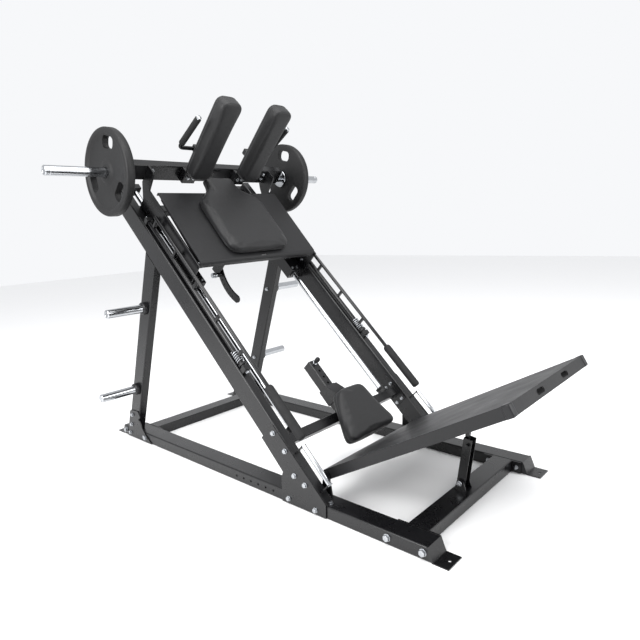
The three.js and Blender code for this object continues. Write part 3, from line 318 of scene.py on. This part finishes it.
# a CAD solid with its hard edges eased, as folded sheet and drawn tube have
def easedCopy(name, material, ease, angle=32):
    bm = bmesh.new()
    bm.from_mesh(nodes[name].data)
    bmesh.ops.remove_doubles(bm, verts=bm.verts, dist=1e-5)
    bmesh.ops.dissolve_limit(bm, angle_limit=radians(0.8), verts=bm.verts, edges=bm.edges)
    hard = [e for e in bm.edges if len(e.link_faces) == 2 and e.calc_face_angle(0) > radians(angle)]
    bmesh.ops.bevel(bm, geom=hard, offset=ease, affect="EDGES", segments=2, profile=0.5, material=-1,
                    clamp_overlap=True)
    piece = makePiece(name + "_finished", bm, material, bodyOf[name], (name,), 40)
    weigh = piece.modifiers.new("evenShading", "WEIGHTED_NORMAL")
    weigh.keep_sharp = True
    weigh.weight = 100
    return piece


tubeEases = {
    "base_rail_left": 0.0014, "base_rail_right": 0.0014, "front_cross_tube": 0.0012, "rear_cross_tube": 0.0012,
    "upright_left": 0.0014, "upright_right": 0.0014, "rear_gusset_left": 0.001, "rear_gusset_right": 0.001,
    "lower_gusset_left": 0.001, "lower_gusset_right": 0.001, "incline_rail_left": 0.0014,
    "incline_rail_right": 0.0014,
    "lower_cross_tube": 0.001, "top_cross_tube": 0.001, "carriage_beam": 0.0012, "carriage_side_left": 0.0016,
    "carriage_side_right": 0.0016, "lower_bearing_housing_left": 0.003, "lower_bearing_housing_right": 0.003,
    "upper_bearing_housing_left": 0.003, "upper_bearing_housing_right": 0.003, "carriage_cross_tube": 0.001,
    "quadrant_arm": 0.0014, "shoulder_arm_left": 0.0014, "shoulder_arm_right": 0.0014, "seat_post": 0.001,
    "seat_carrier": 0.001, "prop_strut": 0.001}
for nodeName, ease in tubeEases.items():
    easedCopy(nodeName, satinPowderCoat, ease)
for nodeName in ("press_plate", "foot_platform"):
    easedCopy(nodeName, texturedPowderCoat, 0.0014)
print("tubes and plates eased")

# guide rods, their bumpers and the storage horns
rodSizes = {"offset": 365, "level": 412, "low": -9.7, "high": 1689.7, "radius": 16, "bumper": 28,
            "bumperLength": 34}
hornSizes = {"radius": 24, "reach": 230, "collar": 35, "collarDepth": 24, "lip": 2}


def makeRods():
    for word, side in sides.items():
        start = onRail(side * rodSizes["offset"], 0, rodSizes["level"])
        low, high, r = rodSizes["low"], rodSizes["high"], rodSizes["radius"]
        bm = bmesh.new()
        turned(bm, [(low, 0), (low, r - 1.5), (low + 1.5, r), (high - 1.5, r), (high, r - 1.5), (high, 0)],
               start, upRail)
        makePiece(f"ground_rod_{word}", bm, groundChrome, "frame", (f"guide_rod_{word}",))
        bm = bmesh.new()
        end = low + rodSizes["bumperLength"]
        b = rodSizes["bumper"]
        turned(bm, [(low, r + 0.3), (low, b - 1), (low + 1, b), (low + 10, b), (low + 15, b - 3), (low + 19, b - 3),
                    (low + 24, b), (end - 1, b), (end, b - 1), (end, r + 0.3), (low, r + 0.3)], start, upRail)
        makePiece(f"ribbed_bumper_{word}", bm, mouldedRubber, "frame", (f"rod_bumper_{word}",))


def makeHorns():
    for level in ("lower", "upper"):
        for word, side in sides.items():
            low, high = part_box(f"{level}_storage_horn_{word}")
            root = Vector((high[0] if side < 0 else low[0], (low[1] + high[1]) / 2, (low[2] + high[2]) / 2))
            r, reach, lip = hornSizes["radius"], hornSizes["reach"], hornSizes["lip"]
            bm = bmesh.new()
            turned(bm, [(0, 0), (0, r), (reach - 5, r), (reach - 4, r), (reach - 1, r - 3), (reach, r - 5),
                        (reach, r - 9),
                        (reach - lip, r - 10), (reach - lip, 0)], root, across * side)
            makePiece(f"{level}_horn_bar_{word}", bm, groundChrome, "frame", (f"{level}_storage_horn_{word}",))
            bm = bmesh.new()
            c, d = hornSizes["collar"], hornSizes["collarDepth"]
            turned(bm, [(0, r), (0, c - 1), (1, c), (d - 6, c), (d - 2, c - 3), (d, c - 6), (d, r + 0.2),
                        (0, r)], root, across * side)
            makePiece(f"{level}_horn_collar_{word}", bm, mouldedCap, "frame")


makeRods()
makeHorns()
print("rods and horns turned")

# safety racks: pivot tube, rungs, hand bar and grip, with the spring that brings each back and its boss
rackSizes = {"offset": 471, "axis": 490, "bar": 552, "tube": 12.5, "barRadius": 10, "low": 330, "high": 1384,
             "barLow": 198, "barHigh": 1330, "stub": 9, "rung": 16, "firstRung": 418, "pitch": 222, "rungs": 5,
             "gripLow": -94, "gripHigh": 198, "grip": 22}
springSizes = {"start": 388, "end": 452, "turns": 5.5, "radius": 17.5, "wire": 3, "boss": 21, "bossLength": 12}
guardSizes = {"low": -326, "high": -113, "level": 533, "foot": 471.5, "radius": 11, "tab": 5, "tabInset": 2,
              "tabWidth": 26}


def makeRacks():
    size = rackSizes
    for word, side in sides.items():
        x = side * size["offset"]
        bm = bmesh.new()
        addRod(bm, onRail(x, size["low"], size["axis"]), onRail(x, size["high"], size["axis"]), size["tube"] / 1000)
        addRod(bm, onRail(x, size["barLow"], size["bar"]), onRail(x, size["barHigh"], size["bar"]),
               size["barRadius"] / 1000, 0.003)
        addRod(bm, onRail(x, size["gripLow"] + 16, size["bar"]), onRail(x, size["barLow"] + 4, size["bar"]),
               size["stub"] / 1000)
        for count in range(size["rungs"]):
            s = size["firstRung"] + size["pitch"] * count
            middle = onRail(x, s, (size["axis"] + size["bar"]) / 2)
            height = (size["bar"] - size["axis"]) / 1000
            addBox(bm, middle, (size["rung"] / 1000, size["rung"] / 1000, height), railTurn.to_3x3().to_4x4(),
                   0.0015)
        makePiece(f"rack_bars_{word}", bm, satinPowderCoat, bodyOf[f"lock_rack_{word}"], (f"lock_rack_{word}",))
        bm = bmesh.new()
        low, high, r = size["gripLow"], size["gripHigh"], size["grip"]
        profile = [(low, 0), (low, r - 9), (low + 2, r - 4), (low + 6, r - 1), (low + 12, r), (high - 14, r),
                   (high - 6, r - 2),
                   (high - 1, r - 6), (high, r - 9), (high, size["stub"] + 0.3), (high - 6, size["stub"] + 0.3),
                   (high - 6, 0)]
        turned(bm, profile, onRail(x, 0, size["bar"]), upRail, 48)
        makePiece(f"rack_grip_{word}", bm, foamRubber, bodyOf[f"lock_grip_{word}"], (f"lock_grip_{word}",))
        bm = bmesh.new()
        turns = round(springSizes["turns"] * 16)
        route = []
        for step in range(turns + 1):
            angle = side * pi * step / 8
            s = springSizes["start"] + (springSizes["end"] - springSizes["start"]) * step / turns
            reach = springSizes["radius"]
            route.append(onRail(x + reach * cos(angle), s, size["axis"] + reach * sin(angle)))
        addWire(bm, route, springSizes["wire"] / 1000, True, 3)
        makePiece(f"rack_spring_{word}", bm, brightZinc, "frame")
        bm = bmesh.new()
        b, length = springSizes["boss"], springSizes["bossLength"]
        turned(bm, [(0, 13), (0, b - 1), (1, b), (length - 2, b), (length, b - 2), (length, 13), (0, 13)],
               onRail(x, springSizes["start"] - length - 8, size["axis"]), upRail, 40)
        makePiece(f"spring_boss_{word}", bm, mouldedCap, "frame")
        bm = bmesh.new()
        for s, facing in ((size["low"], -upRail), (size["high"], upRail)):
            addBolt(bm, onRail(x, s, size["axis"]), facing, 15)
        makePiece(f"rack_end_bolts_{word}", bm, brightZinc, bodyOf[f"lock_rack_{word}"])


# straight hand guards, each held between two tabs
def makeGuards():
    size = guardSizes
    for word, side in sides.items():
        x = side * rackSizes["offset"]
        bm = bmesh.new()
        low, high, r = size["low"], size["high"], size["radius"]
        addRod(bm, onRail(x, low, size["level"]), onRail(x, high, size["level"]), r / 1000, 0.0015)
        makePiece(f"guard_rod_{word}", bm, groundChrome, "frame", (f"guard_bar_{word}",))
        bm = bmesh.new()
        top = size["level"] + r / 2
        for s in (low + size["tabInset"] + size["tab"] / 2, high - size["tabInset"] - size["tab"] / 2):
            tall = (top - size["foot"]) / 1000
            addBox(bm, onRail(x, s, (top + size["foot"]) / 2), (size["tabWidth"] / 1000, size["tab"] / 1000, tall),
                   railTurn.to_3x3().to_4x4(), 0.001)
        makePiece(f"guard_tabs_{word}", bm, satinPowderCoat, "frame")


makeRacks()
makeGuards()
print("racks and guards made")

# loading sleeves and rubber weight plates with three grip openings
sleeveSizes = {"s": 1593, "n": 624, "root": 560.3, "end": 961, "radius": 25, "flangeIn": 596, "flangeOut": 606,
               "flange": 55}
plateSizes = {"inner": 608, "thick": 46, "radius": 225, "bore": 26, "hub": 50, "rim": 196, "dish": 11,
              "slot": (0.104, 0.064), "slotCentre": 0.150, "slotAngles": (90, 210, 330)}


def makeSleeves():
    size = sleeveSizes
    for word, side in sides.items():
        start = onRail(0, size["s"], size["n"])
        end, r = size["end"], size["radius"]
        bm = bmesh.new()
        turned(bm, [(size["root"], 0), (size["root"], r - 2), (size["flangeIn"], r - 2),
                    (size["flangeIn"], size["flange"] - 2),
                    (size["flangeIn"] + 2, size["flange"]), (size["flangeOut"] - 2, size["flange"]),
                    (size["flangeOut"], size["flange"] - 2), (size["flangeOut"], r), (end - 26, r),
                    (end - 25, r - 1),
                    (end - 22, r - 1), (end - 21, r), (end - 4, r), (end - 1, r - 2.5), (end, r - 5), (end, r - 8),
                    (end - 2, r - 9), (end - 2, 0)], start, across * side, 64)
        makePiece(f"turned_sleeve_{word}", bm, groundChrome, "carriage", (f"weight_sleeve_{word}",))


def makeWeightPlates():
    size = plateSizes
    for word, side in sides.items():
        inner, outer = size["inner"], size["inner"] + size["thick"]
        r, rim, dish = size["radius"], size["rim"], size["dish"]
        bm = bmesh.new()
        turned(bm, [(inner, size["bore"]), (inner, r - 9), (inner + 2, r - 4), (inner + 7, r), (outer - 8, r),
                    (outer - 3, r - 2.5),
                    (outer, r - 8), (outer, rim + 3), (outer - 2, rim - 2), (outer - dish + 2, rim - 10),
                    (outer - dish, rim - 16),
                    (outer - dish, size["hub"] + 22), (outer - dish + 1, size["hub"] + 14),
                    (outer - 5, size["hub"] + 4),
                    (outer - 4, size["hub"]), (outer - 4, 36), (outer - 6, 34), (outer - 6, size["bore"] + 1),
                    (outer - 7, size["bore"]), (inner, size["bore"])],
                    onRail(0, sleeveSizes["s"], sleeveSizes["n"]), across * side, 96)
        plate = makePiece(f"rubber_plate_{word}", bm, mouldedRubber, bodyOf[f"weight_plate_{word}"],
                          (f"weight_plate_{word}",))
        hub = onRail(0, sleeveSizes["s"], sleeveSizes["n"])
        cutter = bmesh.new()
        for angle in size["slotAngles"]:
            turn = railTurn.to_3x3().to_4x4() @ Matrix.Rotation(radians(angle), 4, "X")
            centre = hub + turn @ Vector((side * (inner + outer) / 2000, 0, size["slotCentre"]))
            part = bmesh.new()
            bmesh.ops.create_cube(part, size=1,
                                  matrix=Matrix.Translation(centre) @ turn @ Matrix.Diagonal((0.09,
                                          *size["slot"], 1)))
            ends = [e for e in part.edges if abs((e.verts[0].co - e.verts[1].co).x) > 0.05]
            bmesh.ops.bevel(part, geom=ends, offset=0.025, affect="EDGES", segments=8, profile=0.5, material=-1)
            addTo(cutter, part)
        cutterMesh = bpy.data.meshes.new("slotCutter")
        cutter.to_mesh(cutterMesh)
        cutter.free()
        tool = bpy.data.objects.new("slotCutter", cutterMesh)
        bpy.context.scene.collection.objects.link(tool)
        cut = plate.modifiers.new("slots", "BOOLEAN")
        cut.operation = "DIFFERENCE"
        cut.solver = "EXACT"
        cut.object = tool
        baked = bpy.data.meshes.new_from_object(plate.evaluated_get(bpy.context.evaluated_depsgraph_get()))
        plate.modifiers.clear()
        bpy.data.objects.remove(tool)
        plate.data = baked
        bm = bmesh.new()
        bm.from_mesh(baked)
        lips = [e for e in bm.edges if len(e.link_faces) == 2 and e.calc_face_angle(0) > radians(55)
                and (e.verts[0].co - hub).length > 0.09]
        bmesh.ops.bevel(bm, geom=lips, offset=0.0025, affect="EDGES", segments=3, profile=0.5, material=-1,
                        clamp_overlap=True)
        bm.to_mesh(baked)
        bm.free()
        baked.shade_smooth()
        baked.set_sharp_from_angle(angle=radians(40))


makeSleeves()
makeWeightPlates()
print("sleeves and plates made")

# hack handles with their grips and end caps, and the two pull pins
handleSizes = {"x": 316, "s": 1549, "n": 842, "lean": 13, "radius": 11, "reach": 158, "bend": 0.026,
               "gripStart": 32,
               "gripEnd": 222, "top": 236, "grip": 17}


def makeHandles():
    size = handleSizes
    for word, side in sides.items():
        turn = railTurn.to_3x3().to_4x4() @ Matrix.Rotation(radians(size["lean"]), 4, "X")
        pivot = onRail(side * size["x"], size["s"], size["n"])
        up = (turn.to_3x3() @ Vector((0, 0, 1))).normalized()
        r = size["radius"]
        bm = bmesh.new()
        inner = pivot - across * side * size["reach"] / 1000
        bentBar(bm, [inner, pivot, pivot + up * (size["top"] - 1) / 1000], r / 1000, size["bend"])
        makePiece(f"bent_handle_{word}", bm, satinPowderCoat, bodyOf[f"hack_handle_{word}"],
                  (f"hack_handle_{word}",))
        bm = bmesh.new()
        start, top = size["gripEnd"] + 1, size["top"]
        turned(bm, [(start, 0), (start, r + 2), (top - 3, r + 2), (top - 1, r), (top, r - 4), (top, 0)], pivot,
               up, 40)
        makePiece(f"handle_end_cap_{word}", bm, groundChrome, bodyOf[f"hack_handle_{word}"])
        bm = bmesh.new()
        low, high, g = size["gripStart"], size["gripEnd"], size["grip"]
        profile = [(low, r + 0.3), (low, g - 2), (low + 2, g), (high - 2, g), (high, g - 2), (high, r + 0.3),
                   (low, r + 0.3)]
        turned(bm, profile, pivot, up, 40)
        makePiece(f"ribbed_grip_{word}", bm, foamRubber, bodyOf[f"hack_grip_{word}"], (f"hack_grip_{word}",))


def makePins():
    low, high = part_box("tilt_pin")
    tip = Vector((high[0], (low[1] + high[1]) / 2, (low[2] + high[2]) / 2))
    length = (high[0] - low[0]) * 1000
    bm = bmesh.new()
    turned(bm, [(0, 0), (0, 3), (2, 5), (length - 30, 5), (length - 30, 13), (length - 27, 16), (length - 22, 16),
                (length - 20, 14.6), (length - 14, 14.6), (length - 12, 16), (length - 4, 16), (length - 1, 14),
                (length, 11),
                (length, 0)], tip, -across, 40)
    makePiece("knurled_pull_pin", bm, brightZinc, "tilt_lock", ("tilt_pin",))
    face = 442.3
    bm = bmesh.new()
    turned(bm, [(face - 26, 0), (face - 26, 4), (face - 24, 6), (face, 6), (face, 13), (face + 8, 13),
                (face + 10, 9),
                (face + 10, 0)], onRail(0, 284, 0), offRail, 40)
    makePiece("seat_pull_pin", bm, brightZinc, "seat_lock", ("seat_stop_pin",))
    bm = bmesh.new()
    turned(bm, [(face + 10, 0), (face + 10, 9), (face + 16, 8), (face + 20, 11), (face + 24, 13),
                (face + 38, 13), (face + 43, 11), (face + 46, 7),
                (face + 46, 0)], onRail(0, 284, 0), offRail, 40)
    makePiece("seat_pin_knob", bm, mouldedCap, "seat_lock")


makeHandles()
makePins()
print("handles and pins made")

# bolts: (x, y, z) on the plan or (x, s, n) on the rails, in millimetres, mirrored to both sides
frameBolts = {
    "gussetOut": [(-300, 325), (-372, 256), (-423, 152), (-486, 126), (-378, 29), (-541, 25), (970, 153),
                  (990, 87), (1014, 30), (845, 30)],
    "baseOut": [(-915, 32), (-1077, 32), (858, 32), (1077, 32)],
    "flangeIn": [(-1067, 30), (-923, 30), (852, 30), (996, 30)],
    "uprightIn": [(716, 826), (898, 320)],
    "lowerFlange": [(-92, 436), (-92, 392), (14, 436), (14, 392)],
    "topFlange": [(1580, 400), (1640, 400), (1700, 400)]}
boltFaces = {"gusset": 502.7, "base": 496.2, "flange": 389.7, "upright": 446, "lower": 439.6}
carriageBolts = {"beam": [(407, 1568, 669), (407, 1568, 632), (182, 1568, 669)],
                 "side": [(948, 580), (983, 480), (1400, 480), (1470, 480)],
                 "housingTop": [(345, 22), (385, 22), (345, 108), (385, 108)],
                 "pad": [(165, 1525, 660), (200, 1525, 660)]}


def makeBolts():
    for word, side in sides.items():
        out = across * side
        bm = bmesh.new()
        for y, z in frameBolts["gussetOut"]:
            addBolt(bm, onPlan(side * boltFaces["gusset"], y, z), out)
        for y, z in frameBolts["baseOut"]:
            addBolt(bm, onPlan(side * boltFaces["base"], y, z), out, 24)
        for y, z in frameBolts["flangeIn"]:
            addBolt(bm, onPlan(side * boltFaces["flange"], y, z), -out, 17)
        for y, z in frameBolts["uprightIn"]:
            addBolt(bm, onPlan(side * boltFaces["upright"], y, z), -out)
        for s, n in frameBolts["lowerFlange"] + frameBolts["topFlange"]:
            addBolt(bm, onRail(side * boltFaces["lower"], s, n), -out, 15)
        addBolt(bm, onPlan(side * 466, -601, 60), Vector((0, 0, 1)), 17)
        makePiece(f"frame_bolts_{word}", bm, brightZinc, "frame")
        bm = bmesh.new()
        for x, s, n in carriageBolts["beam"] + carriageBolts["pad"]:
            addBolt(bm, onRail(side * x, s, n), -upRail, 17)
        for s, n in carriageBolts["side"]:
            addBolt(bm, onRail(side * 432, s, n), -out, 17)
        for start in (930, 1370):
            for x, s in carriageBolts["housingTop"]:
                addBolt(bm, onRail(side * x, start + s, 447), offRail, 13)
        makePiece(f"carriage_bolts_{word}", bm, brightZinc, "carriage")


# caps pressed into the open tube ends
capSizes = {"lip": 4}


def makeCaps():
    turn = railTurn.to_3x3().to_4x4()
    lip = capSizes["lip"] / 1000
    for word, side in sides.items():
        bm = bmesh.new()
        addBox(bm, onRail(side * 471, 1727, 415), (0.049, lip, 0.111), turn, 0.0018, 3)
        makePiece(f"rail_cap_{word}", bm, mouldedCap, "frame")
        bm = bmesh.new()
        addBox(bm, onRail(side * 558.4, 1593, 650), (0.0035, 0.049, 0.099), turn, 0.0014, 2)
        makePiece(f"beam_end_plate_{word}", bm, satinPowderCoat, "carriage")
    bm = bmesh.new()
    addBox(bm, onRail(0, 302, 412), (0.059, lip, 0.059), turn, 0.0018, 3)
    makePiece("post_cap", bm, mouldedCap, "frame")


# moulded corners on the tip of the foot platform and the pivot bolt of its prop
platformSizes = {"angle": 29.1, "length": 974, "flange": 48, "wrap": 34, "proud": 3, "rise": 0.5}
propPivot = {"at": (0, -0.8893, 0.092), "half": 0.0362, "flats": 19}


def makePlatformFittings():
    size = platformSizes
    turn = Matrix.Rotation(radians(-size["angle"]), 4, "X")
    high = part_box("foot_platform")[1]
    rearTop = turn.to_3x3() @ Vector((0, 0.2, 1))
    rear = max((v.co for v in nodes["foot_platform"].data.vertices), key=lambda point: point.dot(rearTop))
    edge = Vector((0, *rear.yz))
    along, down = turn.to_3x3() @ Vector((0, -1, 0)), turn.to_3x3() @ Vector((0, 0, -1))
    bm = bmesh.new()
    for side in sides.values():
        reach = (size["length"] + size["proud"] - size["wrap"] / 2) / 1000
        drop = (size["flange"] - size["rise"]) / 2000
        outer = high[0] + size["proud"] / 1000 - size["wrap"] / 2000
        centre = edge + along * reach + down * drop + across * side * outer
        tall = (size["flange"] + 2 * size["rise"]) / 1000
        addBox(bm, centre, (size["wrap"] / 1000, size["wrap"] / 1000, tall + 0.002), turn, 0.005, 3)
    makePiece("platform_corners", bm, mouldedCap, bodyOf["foot_platform"])
    bm = bmesh.new()
    for side in sides.values():
        addBolt(bm, Vector(propPivot["at"]) + across * side * propPivot["half"], across * side, propPivot["flats"])
    makePiece("prop_pivot_bolt", bm, brightZinc, "frame")


makeBolts()
makeCaps()
makePlatformFittings()
print("bolts and caps made")

# padded pieces: each starts inside its CAD solid, swells against its held back face, then is seamed
padLooks = {
    "back_pad": {"voxel": 0.006, "shrink": 0.002, "cap": 0.006, "away": Matrix.Rotation(radians(3), 3, "X"),
                 "facing": (0, 0, 1), "seam": 0.34},
    "shoulder_pad_left": {"voxel": 0.0055, "shrink": 0.002, "cap": 0.005, "away": Matrix.Identity(3),
                          "facing": (0, -1, 0), "seam": 0.3},
    "shoulder_pad_right": {"voxel": 0.0055, "shrink": 0.002, "cap": 0.005, "away": Matrix.Identity(3),
                           "facing": (0, -1, 0), "seam": 0.3},
    "seat_pad": {"voxel": 0.005, "shrink": 0.002, "cap": 0.005, "away": Matrix.Rotation(radians(6.5), 3, "X"),
                 "facing": (0, 0, 1), "seam": 0.4}}
seamShape = {"half": 0.0055, "depth": 0.0032}
smoothRounds = {"start": 6, "swollen": 10}
heldDepth = {"fixed": 0.005, "free": 0.006}
simulatedFrames = 20


def startPad(name, look):
    bm = bmesh.new()
    bm.from_mesh(nodes[name].data)
    bmesh.ops.remove_doubles(bm, verts=bm.verts, dist=1e-5)
    mesh = bpy.data.meshes.new(name + "_cover")
    bm.to_mesh(mesh)
    bm.free()
    pad = bpy.data.objects.new(name + "_cover", mesh)
    bpy.context.scene.collection.objects.link(pad)
    remesh = pad.modifiers.new("evenMesh", "REMESH")
    remesh.mode = "VOXEL"
    remesh.voxel_size = look["voxel"]
    baked = bpy.data.meshes.new_from_object(pad.evaluated_get(bpy.context.evaluated_depsgraph_get()))
    pad.modifiers.clear()
    pad.data = baked
    facing = (railTurn.to_3x3() @ look["away"] @ Vector(look["facing"])).normalized()
    heights = [v.co.dot(facing) for v in baked.vertices]
    low, high = min(heights), max(heights)
    bm = bmesh.new()
    bm.from_mesh(baked)
    for _ in range(smoothRounds["start"]):
        bmesh.ops.smooth_vert(bm, verts=bm.verts, factor=0.5, use_axis_x=True, use_axis_y=True, use_axis_z=True)
    bm.normal_update()
    for vert in bm.verts:
        if vert.co.dot(facing) > low + heldDepth["free"]:
            flat = vert.normal - facing * vert.normal.dot(facing)
            vert.co -= (flat + facing * max(0.0, vert.normal.dot(facing))) * look["shrink"]
    bm.to_mesh(baked)
    bm.free()
    held = pad.vertex_groups.new(name="held")
    held.add([v.index for v in baked.vertices if v.co.dot(facing) < low + heldDepth["fixed"]], 1.0, "REPLACE")
    return pad, facing, low, high


def swell(pads):
    for pad, name, facing, low, high in pads:
        cloth = pad.modifiers.new("stuffing", "CLOTH")
        cloth.settings.quality = 5
        cloth.settings.mass = 0.35
        cloth.settings.tension_stiffness = 22
        cloth.settings.compression_stiffness = 22
        cloth.settings.shear_stiffness = 14
        cloth.settings.bending_stiffness = 15
        cloth.settings.use_pressure = True
        cloth.settings.uniform_pressure_force = 4
        cloth.settings.effector_weights.gravity = 0
        cloth.settings.vertex_group_mass = "held"
        cloth.point_cache.frame_start = 1
        cloth.point_cache.frame_end = simulatedFrames
    for step in range(1, simulatedFrames + 1):
        bpy.context.scene.frame_set(step)
    graph = bpy.context.evaluated_depsgraph_get()
    for pad, name, facing, low, high in pads:
        moved = bpy.data.meshes.new_from_object(pad.evaluated_get(graph))
        cap = padLooks[name]["cap"]
        for old, new in zip(pad.data.vertices, moved.vertices):
            step = new.co - old.co
            if step.length > cap:
                step *= cap / step.length
            new.co = old.co + step
        relaxed = bmesh.new()
        relaxed.from_mesh(moved)
        for _ in range(smoothRounds["swollen"]):
            bmesh.ops.smooth_vert(relaxed, verts=relaxed.verts, factor=0.5, use_axis_x=True, use_axis_y=True,
                                  use_axis_z=True)
        relaxed.to_mesh(moved)
        relaxed.free()
        pad.modifiers.clear()
        pad.data = moved
    bpy.context.scene.frame_set(1)


# a sewn line pulls the cover in round the side of a pad
def sewSeam(pad, facing, low, high, share):
    mesh = pad.data
    line = low + (high - low) * share
    normals = [v.normal.copy() for v in mesh.vertices]
    for vert, normal in zip(mesh.vertices, normals):
        level = vert.co.dot(facing)
        near = 1 - abs(level - line) / seamShape["half"]
        if near > 0 and abs(normal.dot(facing)) < 0.75:
            vert.co -= normal * seamShape["depth"] * near


def makePads():
    started = [(*startPad(name, look), name) for name, look in padLooks.items()]
    pads = [(pad, name, facing, low, high) for pad, facing, low, high, name in started]
    swell(pads)
    for pad, name, facing, low, high in pads:
        sewSeam(pad, facing, low, high, padLooks[name]["seam"])
        pad.data.materials.clear()
        pad.data.materials.append(embossedVinyl)
        pad.data.shade_smooth()
        finer = pad.modifiers.new("smoothCover", "SUBSURF")
        finer.levels = 1
        finer.render_levels = 1
        pad.vertex_groups.clear()
        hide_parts(name)
        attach(pad, bodyOf[name])


makePads()
print("pads stuffed and seamed")


# pale studio sweep and soft boxes
def addStage():
    bm = bmesh.new()
    bmesh.ops.create_grid(bm, x_segments=1, y_segments=1, size=14)
    mesh = bpy.data.meshes.new("studioFloor")
    bm.to_mesh(mesh)
    bm.free()
    floor = bpy.data.objects.new("studioFloor", mesh)
    bpy.context.scene.collection.objects.link(floor)
    material, tree, shader, place = startMaterial("paleStudioFloor")
    shader.inputs["Base Color"].default_value = linearColour("#F2F2F2")
    shader.inputs["Roughness"].default_value = 0.75
    mesh.materials.append(material)


def addSoftBox(name, place, aim, size, power):
    data = bpy.data.lights.new(name, "AREA")
    data.shape = "RECTANGLE"
    data.size, data.size_y = size
    data.energy = power
    light = bpy.data.objects.new(name, data)
    bpy.context.scene.collection.objects.link(light)
    light.location = place
    light.rotation_euler = (Vector(aim) - Vector(place)).to_track_quat("-Z", "Y").to_euler()


addStage()
addSoftBox("leftBox", (-4.2, 0.2, 2.6), (0, 0, 0.8), (3.2, 2.6), 230)
addSoftBox("topBox", (-0.6, -1.0, 4.6), (0, 0, 0.6), (4.5, 3.5), 210)
addSoftBox("frontBox", (1.8, -4.2, 2.4), (0, 0, 0.8), (2.6, 2.2), 90)
world = bpy.data.worlds.new("whiteStudio")
world.use_nodes = True
world.node_tree.nodes["Background"].inputs["Color"].default_value = linearColour("#F7F8FA")
world.node_tree.nodes["Background"].inputs["Strength"].default_value = 1.0
bpy.context.scene.world = world
bpy.context.scene.view_settings.view_transform = "Standard"
print("studio lit")
